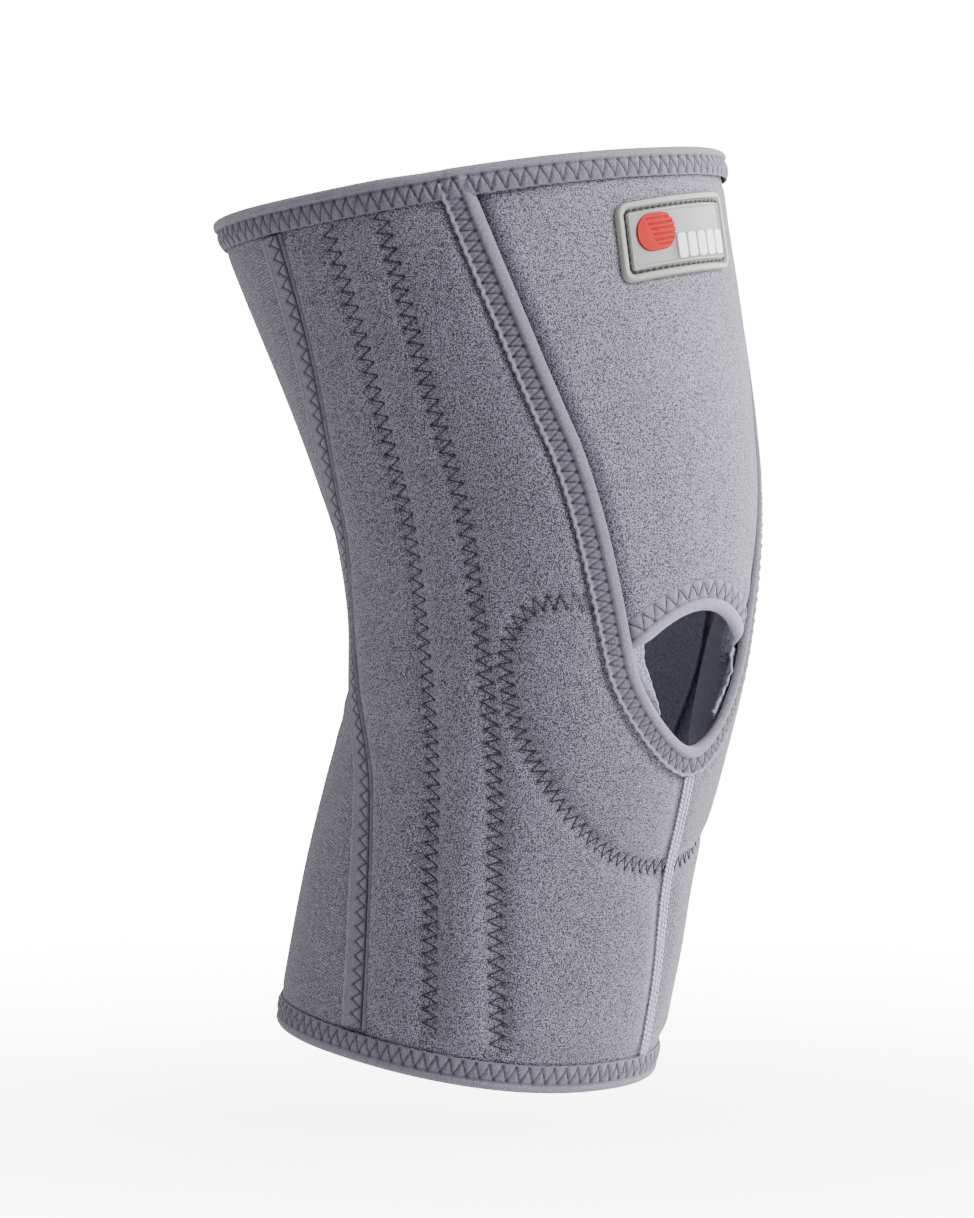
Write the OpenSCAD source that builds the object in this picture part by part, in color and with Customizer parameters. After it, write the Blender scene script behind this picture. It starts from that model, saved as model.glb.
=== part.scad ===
// Open-patella knee brace for a right leg: a neoprene sleeve with four sewn-in stays.
// The front of the knee faces -Y, the outer (lateral) side of the leg faces -X, +Z is up the leg.
// The origin is on the bending axis of the knee, at the middle of the sleeve.
//
// A place on the sleeve is given by two numbers. q is the angle round the leg in degrees: 0 is the
// centre of the front, negative is lateral, positive is medial. s is the distance along the bent
// leg line in mm: 0 is the knee, positive is up the thigh. A third number, d, is the distance
// outward from the outer face of the side panels.

/* [Leg line] */
// Lean of the thigh part, backward going up, in degrees
thigh_lean = 16; // [8:1:22]
// Lean of the calf part, backward going down, in degrees
calf_lean = 19; // [10:1:24]
// Length of the curved part of the leg line on each side of the knee
bend_reach = 50; // [40:5:70]

/* [Sections of the leg] */
// Stations along the leg line at which the lists below give a value
stations = [-150, -95, -50, 0, 50, 100, 160]; // [-160:5:170]
// Half width of the sleeve, side to side
side_radii = [56, 57, 57, 60, 65, 72, 80]; // [45:1:95]
// Depth of the sleeve in front of the leg line
front_radii = [65, 58, 53, 63, 75, 78, 80]; // [45:1:95]
// Depth of the sleeve behind the leg line
back_radii = [55, 61, 61, 56, 56, 63, 76]; // [45:1:95]
// Turn of the panels round the leg, in degrees, toward the medial side
turns = [13, 17, 14, 2, 0, 0, 0]; // [-20:1:20]

/* [Seam lines] */
// Angle of the rear seams at the stations
rear_seam = [96, 113, 124, 130, 117, 106, 103]; // [90:1:135]
// Angle of the rear edge of the front stay channel
rear_line = [66, 84, 93, 90, 87, 85, 86]; // [60:1:95]
// Angle of the front edge of the front stay channel
front_line = [44, 62, 71, 69, 69, 70, 71]; // [42:1:75]

/* [Cuffs] */
// Height of the middle of the top edge along the leg line
top_mid = 148; // [140:1:150]
// How far the top edge dips in front
top_dip = 11; // [0:1:14]
// Height of the middle of the bottom edge along the leg line
bottom_mid = -134; // [-138:1:-125]
// How far the bottom edge rises in front
bottom_rise = 10.5; // [0:0.5:14]

/* [Kneecap opening] */
// Half width of the opening between the bound edges, in degrees, at the knee
opening_half = 27; // [22:1:30]
// Lowest point of the bound edge, along the leg line
opening_low = -23; // [-28:1:-18]
// Highest point of the front panel's lower edge, along the leg line
hem_high = 12.5; // [9:0.5:16]

/* [Kneecap support pad] */
// Half width of the pad in degrees
pad_half = 63; // [55:1:64]
// Lowest point of the pad along the leg line
pad_low = -53; // [-60:1:-45]
// Top of the pad along the leg line
pad_high = 14; // [8:1:15]
// Extra thickness of the pad at its middle
pad_crown = 3.5; // [2:0.5:5]

/* [Thicknesses] */
// Thickness of the side and back panels
panel_t = 3.4; // [2.5:0.1:4]
// Thickness of the front panel
front_t = 3; // [2:0.1:3.5]
// Thickness of the binding tape and of the seam tape
tape_t = 0.8; // [0.5:0.1:1]
// Width of the binding tape on the face of a panel
tape_w = 7.7; // [5:0.1:9]
// Width of the rear seam tape
seam_w = 8; // [6:0.5:10]

/* [Stays] */
// Width of a spiral stay
stay_w = 10; // [6:1:12]
// Thickness of a spiral stay
stay_t = 1.5; // [1:0.1:1.6]
// Distance of a stay from the line in front of it
stay_inset = 11; // [10:0.5:12]

/* [Badge] */
// Length of the badge round the leg
badge_l = 51.5; // [40:0.5:60]
// Height of the badge
badge_h = 25; // [18:0.5:28]
// Tilt of the badge's long sides in degrees
badge_tilt = 6; // [0:0.5:12]
// Tilt of the badge's short sides, which the stretched panel slants
badge_slant = -4; // [-6:0.5:12]

/* [Hidden] */

lateral = -1;              // side of the leg, the sign of q
medial = 1;
clear = 0.25;              // gap between layers that touch in the real sleeve
knee_gap = 0.3;            // half of the gap between the upper and the lower half of a panel
slack = 0.25;              // extra room inside the cuff tapes and the hem
step = 0.01;               // step for slopes, as a share of a path
roll_w = 2.6;              // how far a binding's rolled edge stands past the panel's edge
roll_steps = 5;            // facets round a rolled edge
front_squareness = 2.15;   // exponent of the section in front: 2 is an ellipse
back_squareness = 2.6;     // exponent of the section behind
hidden_margin = 6;         // how far the front panel reaches under the side panels
tucked = -6.2;             // d of the front panel's face where it is under the side panels
flush = -0.6;              // d of the front panel's face in the open
stay_top = -panel_t - clear - 0.1;
pocket_top = stay_top - stay_t - clear;
pocket_t = 0.6;
lining_t = 0.7;
lining_under = 2.5;        // how far a lining wedge reaches under its panel
pad_inset = 12.6;          // distance of the pad from the bound edge of the opening
cap_l = 5;                 // length of a stay's end cap
stay_end_gap = 14;         // distance from the cuff edge to the tip of a stay
badge_s = 111;             // place of the badge's centre
badge_q = 1.6;
deg = PI / 180;
last = len(stations) - 1;

// ---- the sleeve surface ----

function bracket(s, i = 0) = i >= last - 1 || s < stations[i + 1] ? i : bracket(s, i + 1);

function slope_at(v, i) =
  let (a = max(i - 1, 0), b = min(i + 1, last)) (v[b] - v[a]) / (stations[b] - stations[a]);

// Smooth curve through the values of list v at the stations
function at(v, s) =
  let (i = bracket(s), h = stations[i + 1] - stations[i], t = (s - stations[i]) / h)
  (2 * t^3 - 3 * t^2 + 1) * v[i] + (t^3 - 2 * t^2 + t) * h * slope_at(v, i)
  + (3 * t^2 - 2 * t^3) * v[i + 1] + (t^3 - t^2) * h * slope_at(v, i + 1);

// Bend of the leg line in degrees per mm, and its lean at the knee
bend_rate = (thigh_lean + calf_lean) / (2 * bend_reach);
knee_lean = (thigh_lean - calf_lean) / 2;

// Leg line at s: [y, z, lean]
function leg_line(s) =
  let (c = max(-bend_reach, min(bend_reach, s)),
       lean = knee_lean + bend_rate * c,
       k = bend_rate * deg)
  [(cos(knee_lean) - cos(lean)) / k + (s - c) * sin(lean),
   (sin(lean) - sin(knee_lean)) / k + (s - c) * cos(lean),
   lean];

// Radius of the section at s in the direction a, in degrees from the front
function radius(a, s) =
  let (front = cos(a) >= 0,
       n = front ? front_squareness : back_squareness,
       depth = at(front ? front_radii : back_radii, s))
  pow(pow(abs(sin(a)) / at(side_radii, s), n) + pow(abs(cos(a)) / depth, n), -1 / n);

// Point of the sleeve at q and s, d outward from the side panels' face
function wall(q, s, d) =
  let (a = q + at(turns, s), r = radius(a, s) + d, line = leg_line(s), f = r * cos(a))
  [r * sin(a), line[0] - f * cos(line[2]), line[1] + f * sin(line[2])];

// Millimetres on the sleeve for one degree of q, and for one mm of s
function per_q(q, s) = radius(q + at(turns, s), s) * deg;
function per_s(q, s) =
  abs(s) > bend_reach ? 1 : 1 + bend_rate * deg * radius(q + at(turns, s), s) * cos(q + at(turns, s));

// Point [q, s] that lies w mm to the left of a path, a function of t that gives [q, s]
function beside(path, t, w) =
  let (a = path(t - step), b = path(t + step), c = path(t),
       gq = per_q(c[0], c[1]), gs = per_s(c[0], c[1]),
       dx = (b[0] - a[0]) * gq, dy = (b[1] - a[1]) * gs, n = norm([dx, dy]))
  [c[0] - w * dy / n / gq, c[1] + w * dx / n / gs];

function mix(a, b, t) = a + (b - a) * t;
function smooth(a, b, x) = let (t = max(0, min(1, (x - a) / (b - a)))) t * t * (3 - 2 * t);

// ---- edges and lines ----

function top_edge(q) = top_mid - top_dip * cos(q + 20);
function bottom_edge(q) = bottom_mid + bottom_rise * cos(q + 15);

// Bound front edge of a side panel above the knee: half angle at s
function front_edge(s) = opening_half + 0.21 * s - 0.0003 * s^2;

function bezier(p, t) =
  (1 - t)^3 * p[0] + 3 * (1 - t)^2 * t * p[1] + 3 * (1 - t) * t^2 * p[2] + t^3 * p[3];

// Bound edge of a side panel under the opening, from the knee line (t = 0) to the centre (t = 1)
low_edge = [[opening_half, 0], [opening_half - 2.6, -12], [opening_half / 3, opening_low],
            [0, opening_low]];

// The whole lower edge from the lateral knee line (t = 0) to the medial one (t = 1)
function opening_path(t) =
  let (half = t < 0.5, p = bezier(low_edge, half ? 2 * t : 2 - 2 * t)) [half ? -p[0] : p[0], p[1]];

function front_edge_path(side) =
  function(t) let (s = mix(knee_gap, top_edge(side * 50) - tape_w - 1, t)) [side * front_edge(s), s];

// Lower edge of the front panel: s at q
function hem_edge(q) = hem_high - 0.0155 * q^2;

// Half width of the front panel in degrees, with its hidden margins
function front_half(s) = front_edge(s) + hidden_margin / per_q(40, s);

// Face of the front panel: tucked under the side panels, flush between them
function front_face(q, s) =
  let (inside = (front_edge(s) - abs(q)) * per_q(q, s)) mix(tucked, flush, smooth(3, 15, inside));

// ---- solids ----

function quad(a, b, c, d) = [[a, b, c], [a, c, d]];
function reversed(f) = [for (i = [len(f) - 1:-1:0]) f[i]];

// Closed solid between two faces: f(u, v, k) gives the outer face for k = 0, the inner for k = 1
module shell(f, nu, nv, loop = false, flip = false) {
  rows = loop ? nu : nu + 1;
  face_size = rows * (nv + 1);
  id = function(k, i, j) k * face_size + (i % rows) * (nv + 1) + j;
  points = [for (k = [0, 1], i = [0:rows - 1], j = [0:nv]) f(i / nu, j / nv, k)];
  skins = [for (i = [0:nu - 1], j = [0:nv - 1]) each concat(
    quad(id(0, i, j), id(0, i + 1, j), id(0, i + 1, j + 1), id(0, i, j + 1)),
    quad(id(1, i, j), id(1, i, j + 1), id(1, i + 1, j + 1), id(1, i + 1, j)))];
  rims = [for (i = [0:nu - 1]) each concat(
    quad(id(0, i + 1, 0), id(0, i, 0), id(1, i, 0), id(1, i + 1, 0)),
    quad(id(0, i, nv), id(0, i + 1, nv), id(1, i + 1, nv), id(1, i, nv)))];
  ends = loop ? [] : [for (j = [0:nv - 1]) each concat(
    quad(id(0, 0, j), id(0, 0, j + 1), id(1, 0, j + 1), id(1, 0, j)),
    quad(id(0, nu, j + 1), id(0, nu, j), id(1, nu, j), id(1, nu, j + 1)))];
  faces = concat(skins, rims, ends);
  polyhedron(points, flip ? [for (f = faces) reversed(f)] : faces);
}

// q at shares u and v of a sheet whose four edges each depend on the other coordinate
function settle(q0, q1, s0, s1, u, v, q, rounds) =
  rounds == 0 ? q
  : let (s = mix(s0(q), s1(q), v)) settle(q0, q1, s0, s1, u, v, mix(q0(s), q1(s), u), rounds - 1);

// Sheet between q0(s) and q1(s), and between s0(q) and s1(q), from d to d - t
module sheet(q0, q1, s0, s1, d, t, nu, nv, flip = false) {
  f = function(u, v, k)
    let (q = settle(q0, q1, s0, s1, u, v, mix(q0(0), q1(0), u), 5),
         s = mix(s0(q), s1(q), v),
         face = is_function(d) ? d(q, s) : d)
    wall(q, s, face - k * t);
  shell(f, nu, nv, flip = flip);
}

// Strip along a path, w0 to w1 beside it, from d to d - t
module strip(path, w0, w1, d, t, nu, nv, flip = false) {
  f = function(u, v, k) let (p = beside(path, u, mix(w0, w1, v))) wall(p[0], p[1], d - k * t);
  shell(f, nu, nv, flip = flip);
}

// Folded tape: section round an edge, wrapped thickness deep, as [w, d] for step j and face k
function fold(j, k, deep) =
  let (flat = j == 0 || j == roll_steps + 2,
       a = 90 - 180 * max(0, min(roll_steps, j - 1)) / roll_steps,
       half = deep / 2 + clear + (k == 0 ? tape_t : 0))
  [flat ? -tape_w : (roll_w - k * tape_t) * cos(a), half * sin(a) - deep / 2];

// Binding along a path, with the panel on the path's right; lift(q, s) is the panel's face
module binding(path, deep, lift, nu, loop = false, flip = false) {
  nv = roll_steps + 2;
  f = function(u, v, k)
    let (c = path(u), w = fold(round(v * nv), k, deep(c[0])), p = beside(path, u, w[0]))
    wall(p[0], p[1], w[1] + lift(p[0], p[1]));
  shell(f, nu, nv, loop = loop, flip = flip);
}

// ---- panels ----

module side_panel_upper(side) {
  sheet(function(s) side * (front_edge(s) + 0.1),
        function(s) side * (at(rear_seam, s) - 0.3),
        function(q) knee_gap, function(q) top_edge(q) - 0.1,
        0, panel_t, 14, 16, flip = side == medial);
}

// The front boundary below the knee is the bound edge down to the centre seam
module side_panel_lower(side) {
  f = function(u, v, k)
    let (front = v < 0.5 ? bezier(low_edge, 2 * v) : [0, mix(opening_low, bottom_edge(0), 2 * v - 1)],
         fq = side * max(front[0] + 0.4, 0.3),
         s1 = mix(-knee_gap, bottom_edge(side * 100) + 0.1, v),
         rq = side * (at(rear_seam, s1) - 0.3),
         ease = u * u * (3 - 2 * u),
         q = mix(fq, rq, u),
         low = bottom_edge(q) + 0.1,
         s = max(low, mix(min(front[1] - 0.4, -knee_gap), s1, ease)),
         s_end = v > 0.999 ? low : v < 0.001 ? -knee_gap : s)
    wall(q, s_end, -k * panel_t);
  shell(f, 14, 20, flip = side == lateral);
}

module back_panel(s0, s1) {
  sheet(function(s) at(rear_seam, s) + 0.3, function(s) 360 - at(rear_seam, s) - 0.3,
        s0, s1, 0, panel_t, 20, 12, flip = true);
}

module front_panel() {
  color("#a2a2a8")
  sheet(function(s) -front_half(s), function(s) front_half(s),
        function(q) hem_edge(q) + 0.1, function(q) top_edge(q) - 0.1,
        function(q, s) front_face(q, s), front_t, 26, 12, flip = true);
}

module lateral_panel_upper() { color("#808087") side_panel_upper(lateral); }
module medial_panel_upper() { color("#8c8c92") side_panel_upper(medial); }
module lateral_panel_lower() { color("#808087") side_panel_lower(lateral); }
module medial_panel_lower() { color("#94949c") side_panel_lower(medial); }

module back_panel_upper() {
  color("#8a8c96") back_panel(function(q) knee_gap, function(q) top_edge(q) - 0.1);
}

module back_panel_lower() {
  color("#8a8c96") back_panel(function(q) bottom_edge(q) + 0.1, function(q) -knee_gap);
}

// ---- bindings ----

// The cuff tape wraps the side panel and, in front, the front panel under it as well
function cuff_depth(q) =
  let (a = abs((q + 180) % 360 - 180)) panel_t + 6.1 * (1 - smooth(58, 70, a));

module top_binding() {
  path = function(t) let (q = 360 * t - 180) [q, top_edge(q)];
  color("#77777e")
  binding(path, function(q) cuff_depth(q) + 2 * slack, function(q, s) slack, 72,
          loop = true, flip = true);
}

module bottom_binding() {
  path = function(t) let (q = 180 - 360 * t) [q, bottom_edge(q)];
  color("#77777e")
  binding(path, function(q) panel_t + 2 * slack, function(q, s) slack, 60,
          loop = true, flip = true);
}

module opening_binding_upper(side) {
  path = front_edge_path(side);
  trimmed = function(t) path(side == lateral ? 1 - t : t);
  color("#77777e") binding(trimmed, function(q) panel_t, function(q, s) 0, 18, flip = true);
}

module opening_binding_lateral() { opening_binding_upper(lateral); }
module opening_binding_medial() { opening_binding_upper(medial); }

module opening_binding_lower() {
  path = function(t) opening_path(mix(0.01, 0.99, t));
  color("#77777e") binding(path, function(q) panel_t, function(q, s) 0, 24, flip = true);
}

module front_panel_hem() {
  reach = front_half(0);
  path = function(t) let (q = mix(reach, -reach, t)) [q, hem_edge(q)];
  color("#7c7c83")
  binding(path, function(q) front_t + 3 * slack, function(q, s) front_face(q, s) + 1.5 * slack,
          26, flip = true);
}

// ---- seams ----

module rear_tape(side, s0, s1) {
  path = function(t) let (s = mix(s0, s1, t)) [side * at(rear_seam, s), s];
  color("#7d7d85")
  strip(path, -seam_w / 2, seam_w / 2, clear + tape_t, tape_t, 14, 4, flip = true);
}

// Ends of a rear seam tape, just short of the cuff tapes
function tape_top(side) = top_edge(side * at(rear_seam, top_mid)) - tape_w - 1.5;
function tape_low(side) = bottom_edge(side * at(rear_seam, bottom_mid)) + tape_w + 1.5;

module lateral_seam_tape_upper() { rear_tape(lateral, knee_gap, tape_top(lateral)); }
module medial_seam_tape_upper() { rear_tape(medial, knee_gap, tape_top(medial)); }
module lateral_seam_tape_lower() { rear_tape(lateral, -knee_gap, tape_low(lateral)); }
module medial_seam_tape_lower() { rear_tape(medial, -knee_gap, tape_low(medial)); }

module front_seam() {
  path = function(t) [0, mix(opening_low - tape_w / 1.4 - 0.6, bottom_edge(0) + tape_w + 0.6, t)];
  color("#b4b4ba") strip(path, -2.3, 2.3, clear + 0.5, 0.5, 12, 2, flip = true);
}

// ---- stays and their pockets ----

function stay_line(side, line) =
  function(s) side * (at(line, s) + stay_inset / per_q(side * at(line, s), s));

module stay(side, line) {
  where = stay_line(side, line);
  top = top_edge(side * 80) - stay_end_gap - cap_l;
  low = bottom_edge(side * 60) + stay_end_gap + cap_l;
  path = function(t) let (s = mix(low, top, t)) [where(s), s];
  color("#c2c4c8") strip(path, -stay_w / 2, stay_w / 2, stay_top, stay_t, 26, 2, flip = true);
}

module lateral_front_stay() { stay(lateral, front_line); }
module lateral_rear_stay() { stay(lateral, rear_line); }
module medial_front_stay() { stay(medial, front_line); }
module medial_rear_stay() { stay(medial, rear_line); }

// End cap of a stay: its width narrows over the last share of its length
module stay_cap(side, line, s0, s1) {
  where = stay_line(side, line);
  path = function(t) let (s = mix(s0, s1, t)) [where(s), s];
  f = function(u, v, k)
    let (w = stay_w * sqrt(1 - 0.75 * u^2), p = beside(path, u, mix(-w / 2, w / 2, v)))
    wall(p[0], p[1], stay_top - k * stay_t);
  shell(f, 5, 2, flip = true);
}

module stay_caps(side_sign) {
  color("#dcdcdc")
  for (side = [lateral, medial], line = [front_line, rear_line]) {
    base = side_sign > 0 ? top_edge(side * 80) - stay_end_gap - cap_l + 0.15
                         : bottom_edge(side * 60) + stay_end_gap + cap_l - 0.15;
    stay_cap(side, line, base, base + side_sign * cap_l);
  }
}

module stay_caps_upper() { stay_caps(1); }
module stay_caps_lower() { stay_caps(-1); }

module stay_pocket(side, s0, s1) {
  sheet(function(s) side * (at(front_line, s) - 2 / per_q(0, s)),
        function(s) side * (at(rear_line, s) + 2 * stay_inset / per_q(side * 100, s)),
        function(q) s0, function(q) s1, pocket_top, pocket_t, 7, 10,
        flip = side == medial);
}

module lateral_stay_pocket_upper() { color("#6d6f78") stay_pocket(lateral, knee_gap, top_mid - 16); }
module medial_stay_pocket_upper() { color("#6d6f78") stay_pocket(medial, knee_gap, top_mid - 16); }
module lateral_stay_pocket_lower() { color("#6d6f78") stay_pocket(lateral, bottom_mid + 16, -knee_gap); }
module medial_stay_pocket_lower() { color("#6d6f78") stay_pocket(medial, bottom_mid + 16, -knee_gap); }

// ---- kneecap support ----

// Outer outline of the pad from the top of a horn (t = 0) to the centre (t = 1)
function pad_outline(t) =
  let (corner = 15, mid_s = -6, share = 0.25)
  t < share
  ? let (a = 90 - 90 * t / share)
    [pad_half - corner + corner * cos(a), mid_s + (pad_high - mid_s) * sin(a)]
  : let (a = 90 * (t - share) / (1 - share), n = 2 / 2.15)
    [pad_half * pow(cos(a), n), mid_s + (pad_low - mid_s) * pow(sin(a), n)];

// Edge of the opening from beside the top of a horn (t = 0) to the centre (t = 1)
function pad_inner(t) =
  t < 0.25 ? let (s = mix(pad_high - 1, 0, 4 * t)) [front_edge(s), s] : bezier(low_edge, (4 * t - 1) / 3);

// Place on the pad: u runs from one horn to the other, v from the inner to the outer edge
function pad_place(u, v, inner_gap, grow) =
  let (side = u < 0.5 ? lateral : medial,
       t = min(1, u < 0.5 ? 2 * u : 2 - 2 * u),
       inner = function(x) pad_inner(max(0, min(1, x))),
       edge = beside(inner, min(t, 1 - step), inner_gap),
       near = [max(0, t >= 1 ? 0 : edge[0]), edge[1]],
       far = pad_outline(t),
       aside = far[0] / pad_half,
       out = [far[0] + grow * aside, far[1] + (far[1] < 0 ? -grow : 0) * (1 - aside)],
       p = mix(near, out, v))
  [side * p[0], p[1]];

function pad_thickness(v) = 1.2 + pad_crown * pow(max(0, sin(180 * v)), 0.6);

module patella_buttress() {
  face = -panel_t - clear - 0.1;
  f = function(u, v, k)
    let (p = pad_place(u, v, pad_inset, -1))
    wall(p[0], p[1], face - k * pad_thickness(v));
  color("#3c3e44") shell(f, 28, 6);
}

module buttress_cover() {
  under = -panel_t - 2 * clear - 0.2;
  f = function(u, v, k)
    let (p = pad_place(u, v, pad_inset - pocket_t, 1))
    wall(p[0], p[1], under - pad_thickness(v) - k * pocket_t);
  color("#6d6f78") shell(f, 28, 6);
}

// Wedge of lining in an upper corner of the opening: widest under the hem, closing below
module opening_lining(side) {
  path = function(t) let (s = mix(-14, -2.4, t)) [side * bezier(low_edge, -s / 30)[0], s];
  f = function(u, v, k)
    let (p = beside(path, u, side * mix(-lining_under, roll_w + 5.6 * u, v)))
    wall(p[0], p[1], -panel_t - 6 * clear - k * lining_t);
  shell(f, 6, 2, flip = side == medial);
}

module opening_lining_lateral() { color("#b9bbc6") opening_lining(lateral); }
module opening_lining_medial() { color("#b9bbc6") opening_lining(medial); }

// ---- badge ----

// Place on the front panel, x mm along the badge's long sides and y mm along its short sides
function badge_place(x, y, d) =
  let (ax = x * cos(badge_tilt) - y * sin(badge_slant),
       ay = x * sin(badge_tilt) + y * cos(badge_slant))
  wall(badge_q + ax / per_q(badge_q, badge_s), badge_s + ay, flush + d);

// Rounded plate on the badge, l by h, corner r, lying from d to d + t
module badge_plate(cx, cy, l, h, r, d, t, nu, nv) {
  f = function(u, v, k)
    let (x = mix(-l / 2, l / 2, u),
         past = max(0, abs(x) - (l / 2 - r)),
         half = h / 2 - r + sqrt(max(0.01, r^2 - past^2)))
    badge_place(cx + x, cy + mix(-half, half, v), d + t * (1 - k));
  shell(f, nu, nv, flip = true);
}

badge_back = clear + 0.1;  // d of the badge's back over the panel's face
badge_t = 1.4;             // thickness of the badge's base
badge_r = 4;               // corner radius of the badge
badge_face = badge_back + badge_t + 0.1;
rim_t = 1;                 // thickness and width of the raised frame
rim_w = 2.6;
relief_t = 0.8;            // thickness of the raised emblem and bars

module badge_base() {
  color("#b4b6aa") badge_plate(0, 0, badge_l, badge_h, badge_r, badge_back, badge_t, 20, 3);
}

// Point of a rounded rectangle, half length l, half height h; t goes from 0 to 1 round it
function rounded(t, l, h, r) =
  let (quarter = floor(4 * t) % 4,
       part = 4 * t - floor(4 * t),
       g = quarter % 2 == 0 ? part : 1 - part,
       a = 90 * (g - 0.2) / 0.2,
       p = g < 0.2 ? [l, (h - r) * g / 0.2]
         : g < 0.4 ? [l - r + r * cos(a), h - r + r * sin(a)]
         : [(l - r) * (1 - g) / 0.6, h])
  [(quarter == 0 || quarter == 3 ? 1 : -1) * p[0], (quarter < 2 ? 1 : -1) * p[1]];

// Raised frame round the badge's inset face
module badge_field() {
  f = function(u, v, k)
    let (inset = 1 + v * rim_w,
         p = rounded(u, badge_l / 2 - inset, badge_h / 2 - inset, badge_r - 0.6 * inset))
    badge_place(p[0], p[1], badge_face + rim_t * (1 - k));
  color("#bcc0bc") shell(f, 60, 1, loop = true, flip = true);
}

module badge_emblem() {
  color("#e0504f") badge_plate(-11.8, 1.8, 15, 12, 5.9, badge_face, relief_t, 10, 2);
}

module badge_bars() {
  color("#f4f4f2")
  for (i = [0:4])
    badge_plate(-1.2 + 4.95 * i, -3.6, 3.6, 7, 1, badge_face, relief_t, 8, 1);
}

top_binding();
front_panel();
front_panel_hem();
lateral_panel_upper();
medial_panel_upper();
back_panel_upper();
lateral_seam_tape_upper();
medial_seam_tape_upper();
opening_binding_lateral();
opening_binding_medial();
lateral_stay_pocket_upper();
medial_stay_pocket_upper();
lateral_front_stay();
lateral_rear_stay();
medial_front_stay();
medial_rear_stay();
stay_caps_upper();
opening_lining_lateral();
opening_lining_medial();
badge_base();
badge_field();
badge_emblem();
badge_bars();
bottom_binding();
lateral_panel_lower();
medial_panel_lower();
back_panel_lower();
lateral_seam_tape_lower();
medial_seam_tape_lower();
opening_binding_lower();
front_seam();
patella_buttress();
buttress_cover();
lateral_stay_pocket_lower();
medial_stay_pocket_lower();
stay_caps_lower();
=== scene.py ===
"""Looks of the open-patella knee brace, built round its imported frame.

Lengths in this script are in millimetres until a mesh is made, which is in metres. A place on the
sleeve is (q, s, d): q is the angle round the leg in degrees (0 front, negative lateral), s the
distance along the bent leg line (0 knee, positive thigh) and d the distance outward from the outer
face of the side panels. These are the coordinates and the driving sizes of the CAD source.
"""

import math

from dataclasses import dataclass

import bpy
import numpy as np
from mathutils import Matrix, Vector
from mathutils.bvhtree import BVHTree
from mathutils.kdtree import KDTree


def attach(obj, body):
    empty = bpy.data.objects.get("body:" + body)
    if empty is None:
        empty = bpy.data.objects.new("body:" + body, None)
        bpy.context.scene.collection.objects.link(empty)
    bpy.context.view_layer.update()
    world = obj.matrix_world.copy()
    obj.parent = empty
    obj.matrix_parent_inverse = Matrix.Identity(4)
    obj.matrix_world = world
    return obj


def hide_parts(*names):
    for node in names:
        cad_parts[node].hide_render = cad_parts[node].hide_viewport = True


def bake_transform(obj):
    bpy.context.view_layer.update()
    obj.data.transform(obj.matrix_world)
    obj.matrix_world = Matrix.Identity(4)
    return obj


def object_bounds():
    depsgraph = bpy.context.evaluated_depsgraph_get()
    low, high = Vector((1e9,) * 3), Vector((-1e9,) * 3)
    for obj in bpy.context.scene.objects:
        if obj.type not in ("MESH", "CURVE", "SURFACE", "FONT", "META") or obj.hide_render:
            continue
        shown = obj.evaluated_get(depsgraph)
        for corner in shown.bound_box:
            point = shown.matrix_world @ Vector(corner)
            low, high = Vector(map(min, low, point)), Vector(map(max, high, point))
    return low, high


MM = 0.001

# ---- sizes shared with the CAD ----

STATIONS = np.array([-150, -95, -50, 0, 50, 100, 160], float)   # s of the values listed below
SIDE_RADII = [56, 57, 57, 60, 65, 72, 80]
FRONT_RADII = [65, 58, 53, 63, 75, 78, 80]
BACK_RADII = [55, 61, 61, 56, 56, 63, 76]
TURNS = [13, 17, 14, 2, 0, 0, 0]     # degrees that q = 0 is turned to the medial side
REAR_SEAM = [96, 113, 124, 130, 117, 106, 103]    # q of the back panel's seams
REAR_LINE = [66, 84, 93, 90, 87, 85, 86]          # q of the rear and of the front stay channels
FRONT_LINE = [44, 62, 71, 69, 69, 70, 71]
THIGH_LEAN, CALF_LEAN, BEND_REACH = 16, 19, 50    # degrees, and the s where the bend ends
FRONT_SQUARENESS, BACK_SQUARENESS = 2.15, 2.6     # 2 is an ellipse
TOP_MID, TOP_DIP = 148, 11           # s of the cuffs' edges, and how far they swing round the leg
BOTTOM_MID, BOTTOM_RISE = -134, 10.5
OPENING_HALF, OPENING_LOW, HEM_HIGH = 27, -23, 12.5     # q, s and s of the kneecap opening
PAD_HALF, PAD_LOW, PAD_HIGH, PAD_CROWN = 63, -53, 14, 3.5
PANEL_T, FRONT_T, TAPE_T, TAPE_W, ROLL_W = 3.4, 3.0, 0.8, 7.7, 2.6
TUCKED, FLUSH = -4.4, -0.6           # d of the front panel under the side panels and in the open
BADGE_L, BADGE_H, BADGE_R, BADGE_S, BADGE_Q = 51.5, 25, 4, 111, 1.6
BADGE_TILT, BADGE_SLANT = 6, -4      # tilt of its long and of its short sides
STAY_W, STAY_T, STAY_INSET = 10, 1.5, 11
CLEAR, PAD_INSET = 0.25, 12.6        # gap between layers, and from the opening to the pad
UNDER_PANEL = -PANEL_T - CLEAR - 0.1     # d of what lies against a side panel's inner face
DEG = math.pi / 180
LATERAL, MEDIAL = -1, 1
SIDES = ((LATERAL, "lateral"), (MEDIAL, "medial"))

# ---- sizes of the sewing ----

CHANNEL_PITCH, CHANNEL_SWING = 4.4, 4.8      # a zigzag's length per turn and its width
PAD_PITCH, PAD_SWING = 3.8, 4.4
SEAM_PITCH, SEAM_SWING = 4.6, 3.4
THREAD_R, THREAD_LIFT = 0.13, 0.08
PINCH = 1.4                # how much a binding squeezes the panel's edge
COVER_T = 0.6              # thickness of the stay pockets and of the pad's cover
AMBIENT, BACKDROP, FLOOR_GLOW = 0.25, 17.0, 6.0     # strengths of the white surroundings; the floor glows only FLOOR_GLOW near the part, which paints a soft shadow round it
STRAIGHT_LEG = -33         # the knee joint's angle at its straight end


# ---- the sleeve surface ----

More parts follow.
